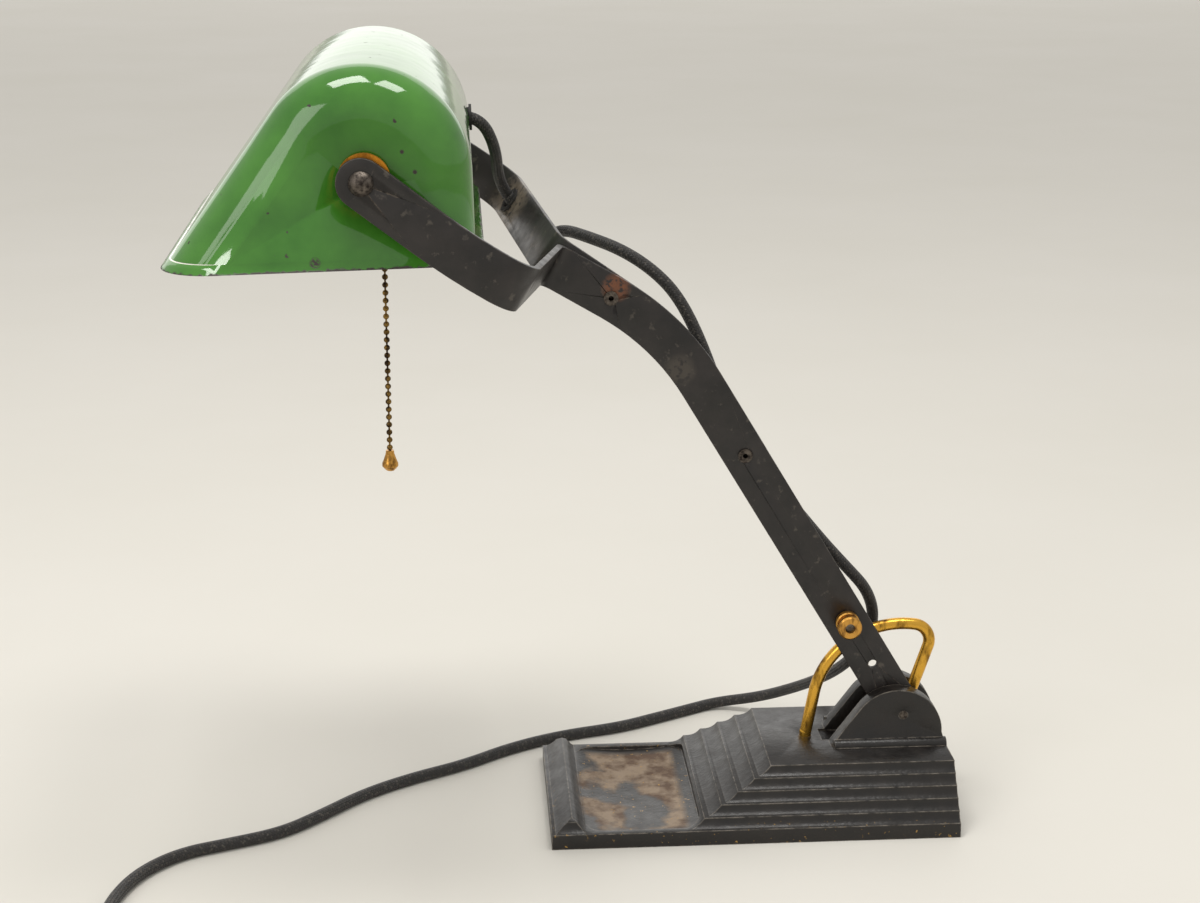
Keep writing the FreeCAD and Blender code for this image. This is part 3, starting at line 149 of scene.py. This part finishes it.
def cord_piece(name, route, step=1.6 * MM, sides=24):
    """Round cord along a route: rings of radius CORD_RADIUS across the line, a step apart.

    Each ring's first direction is the last one's, laid square to the new tangent, so the braid doesn't twist.
    The UV is turns round the cord and length along it in circumferences.
    """
    line = route_line(name, route)
    gone = np.r_[0, np.cumsum(np.linalg.norm(np.diff(line, axis=0), axis=1))]
    keep = np.r_[True, np.diff(gone) > 1e-7]
    line, gone = line[keep], gone[keep]
    at = np.linspace(0, gone[-1], max(8, int(gone[-1] / step)))
    path = np.stack([np.interp(at, gone, line[:, k]) for k in range(3)], -1)
    tangent = np.gradient(path, axis=0)
    tangent /= np.linalg.norm(tangent, axis=1)[:, None]
    across = np.zeros_like(path)
    side = np.cross(tangent[0], (0.3, 0.2, 1.0))
    for k, direction in enumerate(tangent):
        side = side - direction * (side @ direction)
        side /= np.linalg.norm(side)
        across[k] = side
    other = np.cross(tangent, across)
    angle = np.arange(sides) * (2 * math.pi / sides)
    wobble = 1 + 0.012 * np.sin(at / 0.0173 + 1.3) * np.sin(at / 0.0411)
    radius = (CORD_RADIUS * wobble - 0.00004)[:, None, None]
    grid = path[:, None, :] + radius * (np.cos(angle)[None, :, None] * across[:, None, :]
                                        + np.sin(angle)[None, :, None] * other[:, None, :])
    uv = np.stack(np.broadcast_arrays(np.arange(sides)[None, :] / sides,
                                      (at / (2 * math.pi * CORD_RADIUS))[:, None]), -1)
    return mesh_piece(name, grid, True, uv), path


def points_mm(*numbers):
    return np.array(numbers, float) * MM


# ---------------------------------------------------------------- cords

shade_route = points_mm(
    (-170.61, 60, 356.40), (-152, 60.2, 355.7), (-134.25, 60, 354.66), (-126.5, 68, 338), (-125.07, 89.57, 317.10), (-120.26, 91.13, 309.66))
arm_route = points_mm(
    (-120.26, 91.13, 309.66), (-112.78, 93.56, 298.07), (-106.13, 83.28, 287.78), (-99, 62, 293.5),
    (-92.5, 44, 299.6), (-82, 30, 298.6), (-66, 14, 295), (-51, 8.5, 286), (-38.5, 6.6, 273.4),
    (-27.5, 5, 252.5), (-15.95, 3.65, 221.57), (2.70, 3.65, 190.78))


def coil_route(centre, inner, outer, low, high):
    """Two turns side by side on the table and nearly two more on top, clockwise from the +X side.

    The radius eases from outer to inner after the first turn and back after the third, and the height
    eases from low to high after the second, each over a sixth of a turn, at 16 points a turn.
    """
    turn = np.arange(1, 60) / 16
    def ease(at):
        t = np.clip((turn - at) * 6 + 0.5, 0, 1)
        return t * t * (3 - 2 * t)
    radius = outer + (inner - outer) * (ease(0.95) - ease(2.95))
    height = low + (high - low) * ease(1.95)
    angle = -2 * math.pi * turn
    return np.stack([centre[0] + radius * np.cos(angle), centre[1] + radius * np.sin(angle), height], -1)


coil = coil_route((-0.354, -0.178), 0.0319, 0.0381, 0.0031, 0.0091)
free_route = np.vstack([points_mm(
    (2.70, 3.65, 190.78), (12.54, 3.65, 174.53), (36.5, 6, 144.5), (52, 10, 126.5), (66, 14, 110.5),
    (71.3, 20, 91), (67, 33, 69), (60, 50, 52), (52.5, 70, 37), (41, 92, 22), (24, 108, 10), (0, 118, 3.1),
    (-18, 108.3, 3.1), (-37.8, 97.63, 3.1), (-60, 86, 3.1), (-92, 77.5, 3.1), (-122, 63, 3.1),
    (-149, 42, 3.1), (-176, 28, 3.1), (-202, 10, 3.1), (-225, -15, 3.1), (-243, -32, 3.1),
    (-268, -42, 3.1), (-292, -51, 3.1), (-310, -71, 3.1), (-318.5, -96, 3.1), (-320, -120, 3.1),
    (-316.3, -142, 3.1), (-315.9, -166, 3.1)), coil, points_mm(
    (-313.6, -184, 9.1), (-312.8, -196, 7.2), (-314.0, -208, 5.0), (-314.35, -220.45, 5.73))])

cord_shade, _ = cord_piece("cloth_cord_shade", shade_route)
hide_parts("cord_shade")
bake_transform(cord_shade)
cord_arm, _ = cord_piece("cloth_cord_arm", arm_route)
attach(cord_arm, "arm")
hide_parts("cord_arm")
cord_free, free_path = cord_piece("cloth_cord_free", free_route)
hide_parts("cord_drop", "cord_floor", "cord_tail", "cord_coil")
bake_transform(cord_free)
free_length = float(np.linalg.norm(np.diff(free_path, axis=0), axis=1).sum())
print("free cord", round(free_length, 4))


# ---------------------------------------------------------------- finishes

def add(tree, kind, links=None, stops=None, **settings):
    """Adds one node: its settings, its sockets' values or links by name or number, and a ramp's stops."""
    node = tree.nodes.new(kind)
    for name, value in settings.items():
        setattr(node, name, value)
    for name, value in (links or {}).items():
        if isinstance(value, bpy.types.NodeSocket):
            tree.links.new(value, node.inputs[name])
        else:
            node.inputs[name].default_value = value
    if stops:
        ramp = node.color_ramp
        while len(ramp.elements) < len(stops):
            ramp.elements.new(0.5)
        for element, (place, colour) in zip(ramp.elements, stops):
            element.position, element.color = place, colour
    return node


WHITE, BLACK = (1, 1, 1, 1), (0, 0, 0, 1)


def new_finish(name):
    """A material with one Principled shader on its output, and its object coordinates."""
    material = bpy.data.materials.new(name)
    material.use_nodes = True
    tree = material.node_tree
    tree.nodes.clear()
    shader = add(tree, "ShaderNodeBsdfPrincipled")
    add(tree, "ShaderNodeOutputMaterial", {"Surface": shader.outputs[0]})
    place = add(tree, "ShaderNodeTexCoord").outputs["Object"]
    return material, tree, shader, place


def mask(tree, place, size, low, high, detail=4, stretch=None):
    """Patches of noise of that size in millimetres, from black at low to white at high."""
    if stretch:
        place = add(tree, "ShaderNodeMapping", {"Vector": place, "Rotation": stretch[0], "Scale": stretch[1]}).outputs[0]
    noise = add(tree, "ShaderNodeTexNoise", {"Vector": place, "Scale": per_mm(size), "Detail": detail, "Roughness": 0.6})
    return add(tree, "ShaderNodeValToRGB", {"Fac": noise.outputs[0]}, stops=[(low, BLACK), (high, WHITE)]).outputs[0]


def mixed(tree, how_much, first, second, blend_type="MIX"):
    """Colour first, with second over it by how_much."""
    node = add(tree, "ShaderNodeMix", data_type="RGBA", blend_type=blend_type)
    for slot, value in ((0, how_much), (6, first), (7, second)):
        if isinstance(value, bpy.types.NodeSocket):
            tree.links.new(value, node.inputs[slot])
        else:
            node.inputs[slot].default_value = value
    return node.outputs[2]


def times(tree, *values, operation="MULTIPLY"):
    """Product of several values, or another operation on them."""
    out = values[0]
    for value in values[1:]:
        out = add(tree, "ShaderNodeMath", {0: out, 1: value}, operation=operation, use_clamp=True).outputs[0]
    return out


def bumped(tree, shader, *layers):
    """Bumps one over the other, each with its height and its depth in millimetres."""
    normal = None
    for height, depth in layers:
        links = {"Height": height, "Distance": depth * MM, "Strength": 1.0}
        if normal:
            links["Normal"] = normal
        normal = add(tree, "ShaderNodeBump", links).outputs[0]
    tree.links.new(normal, shader.inputs["Normal"])


def noise_height(tree, place, size, detail=3):
    return add(tree, "ShaderNodeTexNoise", {"Vector": place, "Scale": per_mm(size), "Detail": detail}).outputs[0]


def edges(tree, reach, strength=2.2):
    """White along sharp edges, within reach millimetres, where the rounded normal leaves the real one."""
    soft = add(tree, "ShaderNodeBevel", {"Radius": reach * MM}, samples=6).outputs[0]
    hard = add(tree, "ShaderNodeNewGeometry").outputs["Normal"]
    same = add(tree, "ShaderNodeVectorMath", {0: soft, 1: hard}, operation="DOT_PRODUCT").outputs["Value"]
    away = add(tree, "ShaderNodeMath", {0: 1.0, 1: same}, operation="SUBTRACT").outputs[0]
    return add(tree, "ShaderNodeMath", {0: away, 1: strength * 10}, operation="MULTIPLY", use_clamp=True).outputs[0]


def spot(tree, place, centre, radius, soft=0.4):
    """White inside a ball at centre, both in millimetres, with a soft rim."""
    moved = add(tree, "ShaderNodeVectorMath", {0: place, 1: tuple(c * MM for c in centre)}, operation="SUBTRACT").outputs[0]
    far = add(tree, "ShaderNodeVectorMath", {0: moved}, operation="LENGTH").outputs["Value"]
    return add(tree, "ShaderNodeMapRange", {"Value": far, "From Min": radius * MM, "From Max": radius * MM * (1 - soft),
                                            "To Min": 0.0, "To Max": 1.0}).outputs[0]


def vitreous_enamel(name, deep, bright, chips):
    """Glass fused on sheet steel: a deep wet gloss, a slightly wavy skin, and dark iron where it is chipped."""
    material, tree, shader, place = new_finish(name)
    cloud = mask(tree, place, 45, 0.3, 0.7)
    colour = mixed(tree, cloud, srgb(deep), srgb(bright))
    height = add(tree, "ShaderNodeAttribute", attribute_name="above_lip").outputs["Fac"]
    ragged = add(tree, "ShaderNodeMath", {0: noise_height(tree, place, 3, 5), 1: 0.0034, 2: height},
                 operation="MULTIPLY_ADD").outputs[0]
    bare = add(tree, "ShaderNodeMapRange", {"Value": ragged, "From Min": 0.0026, "From Max": 0.0021,
                                            "To Min": 0.0, "To Max": 1.0}).outputs[0]
    specks = mask(tree, place, 5, 0.735, 0.75, 2)
    bare = times(tree, bare, specks, operation="MAXIMUM")
    for centre, radius in chips:
        bare = times(tree, bare, times(tree, spot(tree, place, centre, radius), mask(tree, place, 1.2, 0.42, 0.5)),
                     operation="MAXIMUM")
    tree.links.new(mixed(tree, bare, colour, srgb("2b211b")), shader.inputs["Base Color"])
    tree.links.new(add(tree, "ShaderNodeMapRange", {"Value": bare, "To Min": 0.07, "To Max": 0.6}).outputs[0],
                   shader.inputs["Roughness"])
    shader.inputs["IOR"].default_value = 1.55
    bumped(tree, shader, (noise_height(tree, place, 22, 1), 0.25), (noise_height(tree, place, 5, 2), 0.02))
    return material


def stoved_black_cast_iron(name):
    """Black stoving paint on sand-cast iron: pebbled, semi-gloss, rubbed to grey on ridges and bare in the tray."""
    material, tree, shader, place = new_finish(name)
    colour = mixed(tree, mask(tree, place, 14, 0.35, 0.7), srgb("110e0c"), srgb("1c1713"))
    rub = times(tree, edges(tree, 0.9), mask(tree, place, 5, 0.36, 0.62))
    colour = mixed(tree, times(tree, rub, 0.75), colour, srgb("8b8378"))
    axes = add(tree, "ShaderNodeSeparateXYZ", {0: place}).outputs
    def band(value, low, high, soft):
        rise = add(tree, "ShaderNodeMapRange", {"Value": value, "From Min": (low - soft) * MM, "From Max": (low + soft) * MM}).outputs[0]
        fall = add(tree, "ShaderNodeMapRange", {"Value": value, "From Min": (high + soft) * MM, "From Max": (high - soft) * MM}).outputs[0]
        return times(tree, rise, fall)
    tray = times(tree, band(axes[0], -88, -35, 2), band(axes[1], -47, 44, 3), band(axes[2], 0.5, 10, 1))
    right = add(tree, "ShaderNodeMapRange", {"Value": axes[0], "From Min": -0.092, "From Max": -0.030,
                                             "To Min": -0.10, "To Max": 0.16}).outputs[0]
    patch = add(tree, "ShaderNodeMath", {0: noise_height(tree, place, 38, 6), 1: right}, operation="ADD").outputs[0]
    bare = times(tree, tray, add(tree, "ShaderNodeMapRange", {"Value": patch, "From Min": 0.47, "From Max": 0.53}).outputs[0])
    metal = mixed(tree, mask(tree, place, 11, 0.4, 0.62), srgb("8c7a66"), srgb("57412f"))
    colour = mixed(tree, bare, colour, metal)
    ochre = times(tree, mask(tree, place, 2.2, 0.68, 0.72, 2), band(axes[2], -1, 9, 3))
    colour = mixed(tree, ochre, colour, srgb("a8823e"))
    tree.links.new(colour, shader.inputs["Base Color"])
    rough = add(tree, "ShaderNodeMapRange", {"Value": mask(tree, place, 7, 0.3, 0.7), "To Min": 0.3, "To Max": 0.46}).outputs[0]
    tree.links.new(add(tree, "ShaderNodeMath", {0: bare, 1: 0.32, 2: rough}, operation="MULTIPLY_ADD").outputs[0],
                   shader.inputs["Roughness"])
    bumped(tree, shader, (noise_height(tree, place, 9, 2), 0.35), (noise_height(tree, place, 1.6, 3), 0.16))
    return material


def japanned_steel(name, worn, spots=()):
    """Black japan on rolled flat steel: satin, blotched, rubbed along its edges, with round patches of given tints
    where listed.
    """
    material, tree, shader, place = new_finish(name)
    colour = mixed(tree, mask(tree, place, 16, 0.35, 0.68), srgb("161311"), srgb("272220"))
    scuff = mask(tree, place, 6, 0.60, 0.68, 6)
    colour = mixed(tree, times(tree, scuff, 0.35), colour, srgb("6d655b"))
    rub = times(tree, edges(tree, 0.5), mask(tree, place, 4, 0.42, 0.62))
    colour = mixed(tree, times(tree, rub, worn), colour, srgb("85796b"))
    for centre, radius, tint in spots:
        where = times(tree, spot(tree, place, centre, radius, 0.5), mask(tree, place, 3, 0.38, 0.5, 6))
        colour = mixed(tree, where, colour, srgb(tint))
    tree.links.new(colour, shader.inputs["Base Color"])
    tree.links.new(add(tree, "ShaderNodeMapRange", {"Value": mask(tree, place, 9, 0.3, 0.7), "To Min": 0.32, "To Max": 0.5}).outputs[0],
                   shader.inputs["Roughness"])
    bumped(tree, shader, (noise_height(tree, place, 4, 4), 0.09), (noise_height(tree, place, 0.9, 2), 0.03))
    return material


def aged_brass(name, bright, brown, low, high, size, roughness):
    """Drawn or turned brass with brown tarnish in streaks, polished where hands rub it."""
    material, tree, shader, place = new_finish(name)
    tarnish = mask(tree, place, size, low, high, 5, ((0, 0.5, 0.3), (1, 1, 0.35)))
    colour = mixed(tree, tarnish, srgb(bright), srgb(brown))
    tree.links.new(colour, shader.inputs["Base Color"])
    tree.links.new(add(tree, "ShaderNodeMapRange", {"Value": tarnish, "To Min": roughness, "To Max": roughness + 0.25}).outputs[0],
                   shader.inputs["Roughness"])
    shader.inputs["Metallic"].default_value = 0.92
    bumped(tree, shader, (noise_height(tree, place, 2.5, 4), 0.06))
    return material


def plain_metal(name, light, dark, roughness, size=3.0):
    """Turned or pressed steel, dulled, with darker stains in its hollows."""
    material, tree, shader, place = new_finish(name)
    stain = mask(tree, place, size, 0.35, 0.65, 5)
    tree.links.new(mixed(tree, stain, srgb(light), srgb(dark)), shader.inputs["Base Color"])
    tree.links.new(add(tree, "ShaderNodeMapRange", {"Value": stain, "To Min": roughness, "To Max": roughness + 0.2}).outputs[0],
                   shader.inputs["Roughness"])
    shader.inputs["Metallic"].default_value = 0.9
    bumped(tree, shader, (noise_height(tree, place, 1.2, 3), 0.04))
    return material


def moulded(name, dark, light, roughness, size):
    """Moulded Bakelite or rubber: an even skin with a faint mottle."""
    material, tree, shader, place = new_finish(name)
    tree.links.new(mixed(tree, mask(tree, place, size, 0.4, 0.7, 5), srgb(dark), srgb(light)), shader.inputs["Base Color"])
    tree.links.new(add(tree, "ShaderNodeMapRange", {"Value": mask(tree, place, 6, 0.3, 0.7), "To Min": roughness,
                                                    "To Max": roughness + 0.12}).outputs[0], shader.inputs["Roughness"])
    bumped(tree, shader, (noise_height(tree, place, 1.5, 3), 0.03))
    return material


def frosted_glass(name):
    """Bulb glass, etched inside: white and softly see-through, with a clear outer skin."""
    material, tree, shader, place = new_finish(name)
    tree.links.new(mixed(tree, mask(tree, place, 12, 0.3, 0.7), srgb("eceae2"), srgb("f7f5ee")), shader.inputs["Base Color"])
    tree.links.new(add(tree, "ShaderNodeMapRange", {"Value": mask(tree, place, 4, 0.3, 0.7), "To Min": 0.3,
                                                    "To Max": 0.42}).outputs[0], shader.inputs["Roughness"])
    shader.inputs["Transmission Weight"].default_value = 0.6
    shader.inputs["IOR"].default_value = 1.5
    bumped(tree, shader, (noise_height(tree, place, 0.8, 2), 0.01))
    return material


def braided_cotton(name):
    """Black glazed-cotton braid: strands 1.6 mm wide cross under and over each other, a few of them grey.

    With u turns round the cord and v circumferences along it, the strands run along 12u + 12v and 12u - 12v;
    each cell's height is a low crown across the strand that lies on top there, and the colour darkens and the grey
    fades where the crown dips: painted shade between the strands.
    """
    material, tree, shader, _ = new_finish(name)
    uv = add(tree, "ShaderNodeUVMap", uv_map="round_and_along").outputs[0]
    u, v = add(tree, "ShaderNodeSeparateXYZ", {0: uv}).outputs[:2]
    def calc(operation, *values):
        return add(tree, "ShaderNodeMath", dict(enumerate(values)), operation=operation).outputs[0]
    around, along = calc("MULTIPLY", u, 12.0), calc("MULTIPLY", v, 12.0)
    right, left = calc("ADD", around, along), calc("SUBTRACT", around, along)
    cells = [calc("FLOOR", right), calc("FLOOR", left)]
    top = calc("PINGPONG", calc("ADD", *cells), 1.0)
    crowns = [calc("SINE", calc("MULTIPLY", calc("FRACT", s), math.pi)) for s in (right, left)]
    height = add(tree, "ShaderNodeMix", {0: top, 2: crowns[0], 3: crowns[1]}).outputs[0]
    cell = add(tree, "ShaderNodeCombineXYZ", {0: cells[0], 1: cells[1]}).outputs[0]
    chance = add(tree, "ShaderNodeTexWhiteNoise", {0: cell}, noise_dimensions="2D").outputs[0]
    grey = add(tree, "ShaderNodeMapRange", {"Value": chance, "From Min": 0.72, "From Max": 1.0}).outputs[0]
    # painted shade: the braid is darker where a strand dips under the next, and its grey flecks fade there too
    braid_tone_with_painted_shade = mixed(tree, height, srgb("080706"), srgb("24211f"))
    tree.links.new(mixed(tree, times(tree, grey, height, 0.6), braid_tone_with_painted_shade, srgb("6a645c")), shader.inputs["Base Color"])
    tree.links.new(add(tree, "ShaderNodeMapRange", {"Value": chance, "To Min": 0.5, "To Max": 0.72}).outputs[0],
                   shader.inputs["Roughness"])
    shader.inputs["Sheen Weight"].default_value = 0.08
    bumped(tree, shader, (height, 0.22))
    return material


green = vitreous_enamel("vitreous_enamel_green", "2e641b", "457f2a", [
    ((-185.7, -100, 387.2), 3.0), ((-188.7, -100, 388.1), 2.6), ((-170.4, -107.5, 362.9), 1.1),
    ((-165.0, -107.5, 354.2), 1.2), ((-221.2, -107.5, 318.1), 1.1), ((-209.2, -109, 315.2), 3.0)])
white_inside = vitreous_enamel("vitreous_enamel_white", "dcd8cc", "e8e5da", [])
iron = stoved_black_cast_iron("stoved_black_cast_iron")
# Patches: rust brown on the near bar, a dark grey one lower down it, and a pale grey one round the far jog's cord hole.
steel_bar = japanned_steel("japanned_steel", 0.8, [
    ((-70, -6.4, 280), 8, "6e4127"), ((-37.9, -6.4, 237.8), 9, "3f3932"), ((-118, 88, 300), 26, "6b6154")])
nut_steel = plain_metal("dulled_steel", "7b756c", "4a443d", 0.38)
screw_steel = plain_metal("turned_dark_steel", "6a625a", "2d2724", 0.34, 2.0)
hoop_brass = aged_brass("drawn_brass_hoop", "d9a640", "4d3213", 0.50, 0.66, 7, 0.24)
knob_brass = aged_brass("turned_brass_knob", "cf9a4a", "5a3a1c", 0.46, 0.66, 3, 0.3)
chain_brass = aged_brass("bead_chain_brass", "8a6d38", "33261a", 0.38, 0.6, 3, 0.28)
washer_brass = aged_brass("pressed_brass_washer", "d08a2c", "7a4a1c", 0.45, 0.7, 6, 0.35)
rubber = moulded("moulded_rubber", "171514", "25221f", 0.6, 6)
bakelite = moulded("moulded_bakelite", "1d110c", "3a1f13", 0.2, 9)
glass = frosted_glass("frosted_bulb_glass")
braid = braided_cotton("braided_cotton")

for piece in (cord_shade, cord_arm, cord_free):
    piece.data.materials.append(braid)


# ---------------------------------------------------------------- refined copies of CAD shapes

def refined(node, name, body, finishes, rounding=0.0, angle=35):
    """Copy of a CAD node with its triangles joined, its sharp edges rounded and its faces smooth."""
    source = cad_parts[node]
    mesh = source.data.copy()
    mesh.name = name
    piece = bpy.data.objects.new(name, mesh)
    bpy.context.scene.collection.objects.link(piece)
    weld = piece.modifiers.new("weld", "WELD")
    weld.merge_threshold = 2e-6
    if rounding:
        bevel = piece.modifiers.new("rounding", "BEVEL")
        bevel.width, bevel.segments, bevel.limit_method = rounding * MM, 2, "ANGLE"
        bevel.angle_limit = math.radians(angle)
        bevel.use_clamp_overlap = True
    bpy.context.view_layer.update()
    evaluated = piece.evaluated_get(bpy.context.evaluated_depsgraph_get())
    final = bpy.data.meshes.new_from_object(evaluated)
    piece.modifiers.clear()
    piece.data = final
    final.shade_smooth()
    final.set_sharp_from_angle(angle=math.radians(40))
    final.materials.clear()
    for material in finishes:
        final.materials.append(material)
    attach(piece, body)
    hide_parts(node)
    return piece


def shade_skins(piece):
    """Height above the lip for each vertex, and white enamel on the faces that look at the shade's axis."""
    mesh = piece.data
    points = np.zeros(len(mesh.vertices) * 3)
    mesh.vertices.foreach_get("co", points)
    points = points.reshape(-1, 3) - np.array(SHADE_AXIS)
    upright = points[:, 2] * math.cos(SHADE_LEAN) - points[:, 0] * math.sin(SHADE_LEAN)
    above = (upright - upright.min()).astype(np.float32)
    mesh.attributes.new("above_lip", "FLOAT", "POINT").data.foreach_set("value", above)
    middle, normal = np.zeros(len(mesh.polygons) * 3), np.zeros(len(mesh.polygons) * 3)
    mesh.polygons.foreach_get("center", middle)
    mesh.polygons.foreach_get("normal", normal)
    middle, normal = middle.reshape(-1, 3) - np.array(SHADE_AXIS), normal.reshape(-1, 3)
    low = middle.copy()
    low[:, 2] += 0.02
    low[:, 1] *= 0.35
    inside = (low * normal).sum(1) < 0
    mesh.polygons.foreach_set("material_index", inside.astype(np.int32))
    mesh.update()


shade = refined("shade", "enamelled_shade", "shade", [green, white_inside])
shade_skins(shade)
refined("base_casting", "cast_base", "base", [iron], 0.7)
refined("main_arm_bar", "arm_bar", "arm", [steel_bar], 0.35)
refined("far_fork_bar", "fork_bar", "arm", [steel_bar], 0.35)

CAD_FINISHES = {
    "guide_hoop": hoop_brass, "clamp_knob": knob_brass, "pull_chain": chain_brass, "chain_bell": knob_brass,
    "friction_washers": washer_brass, "pivot_screws": screw_steel, "arm_rivets": screw_steel,
    "pivot_pin": screw_steel, "fork_grommet": rubber, "shade_grommet": rubber, "bulb_glass": glass,
    "bulb_cap": chain_brass, "holder_shell": knob_brass, "holder_nipple": knob_brass, "holder_cap": bakelite,
    "switch_collar": knob_brass, "switch_lever": knob_brass, "cord_bush": knob_brass, "pivot_bush": knob_brass,
    "plug_cover": bakelite, "plug_face": bakelite, "plug_pins": knob_brass, "plug_screw": nut_steel,
    "cord_clip": steel_bar, "clamp_plate": steel_bar, "holder_liner": nut_steel,
}
for node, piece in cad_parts.items():
    piece.data.materials.clear()
    piece.data.materials.append(CAD_FINISHES.get(node, nut_steel))


# ---------------------------------------------------------------- floor and light

def make_floor():
    """Pale table that runs far back behind the lamp."""
    side = np.linspace(-40, 40, 9)
    out, up = np.linspace(-12, 60, 12), np.zeros(12)
    grid = np.stack([np.broadcast_to(side[None, :], (len(out), 9)), np.broadcast_to(out[:, None], (len(out), 9)),
                     np.broadcast_to(up[:, None], (len(out), 9))], -1)
    floor = mesh_piece("floor", grid, False)
    material, tree, shader, place = new_finish("paper_sweep")
    colour = mixed(tree, mask(tree, place, 400, 0.3, 0.7), srgb("cfccc4"), srgb("d2cfc8"))
    tree.links.new(colour, shader.inputs["Base Color"])
    shader.inputs["Roughness"].default_value = 0.85
    shader.inputs["Specular IOR Level"].default_value = 0.2
    floor.data.materials.append(material)


def soft_box(name, place, aim, size, power, colour=(1, 0.985, 0.96)):
    data = bpy.data.lights.new(name, "AREA")
    data.shape, data.size, data.size_y, data.energy, data.color = "RECTANGLE", size[0], size[1], power, colour
    light = bpy.data.objects.new(name, data)
    light.location = place
    light.rotation_euler = (Vector(aim) - Vector(place)).to_track_quat("-Z", "Y").to_euler()
    light.visible_camera = False
    bpy.context.scene.collection.objects.link(light)


make_floor()
soft_box("back_sky", (-0.2, 9.0, 3.6), (-0.1, 0, 0.25), (13, 6.6), 210)
soft_box("overhead", (-0.45, -0.1, 1.9), (-0.1, 0, 0.1), (0.5, 0.7), 13)
soft_box("overhead_right", (0.35, -0.2, 1.9), (-0.1, 0, 0.1), (0.5, 0.5), 8)
soft_box("front_left", (-1.8, -1.6, 1.5), (0, 0, 0.1), (1.2, 1.2), 14)
world = bpy.data.worlds.new("room")
world.use_nodes = True
world.node_tree.nodes["Background"].inputs[0].default_value = (1.0, 0.985, 0.955, 1)
world.node_tree.nodes["Background"].inputs[1].default_value = 0.7
bpy.context.scene.world = world
bpy.context.scene.view_settings.view_transform = "Standard"
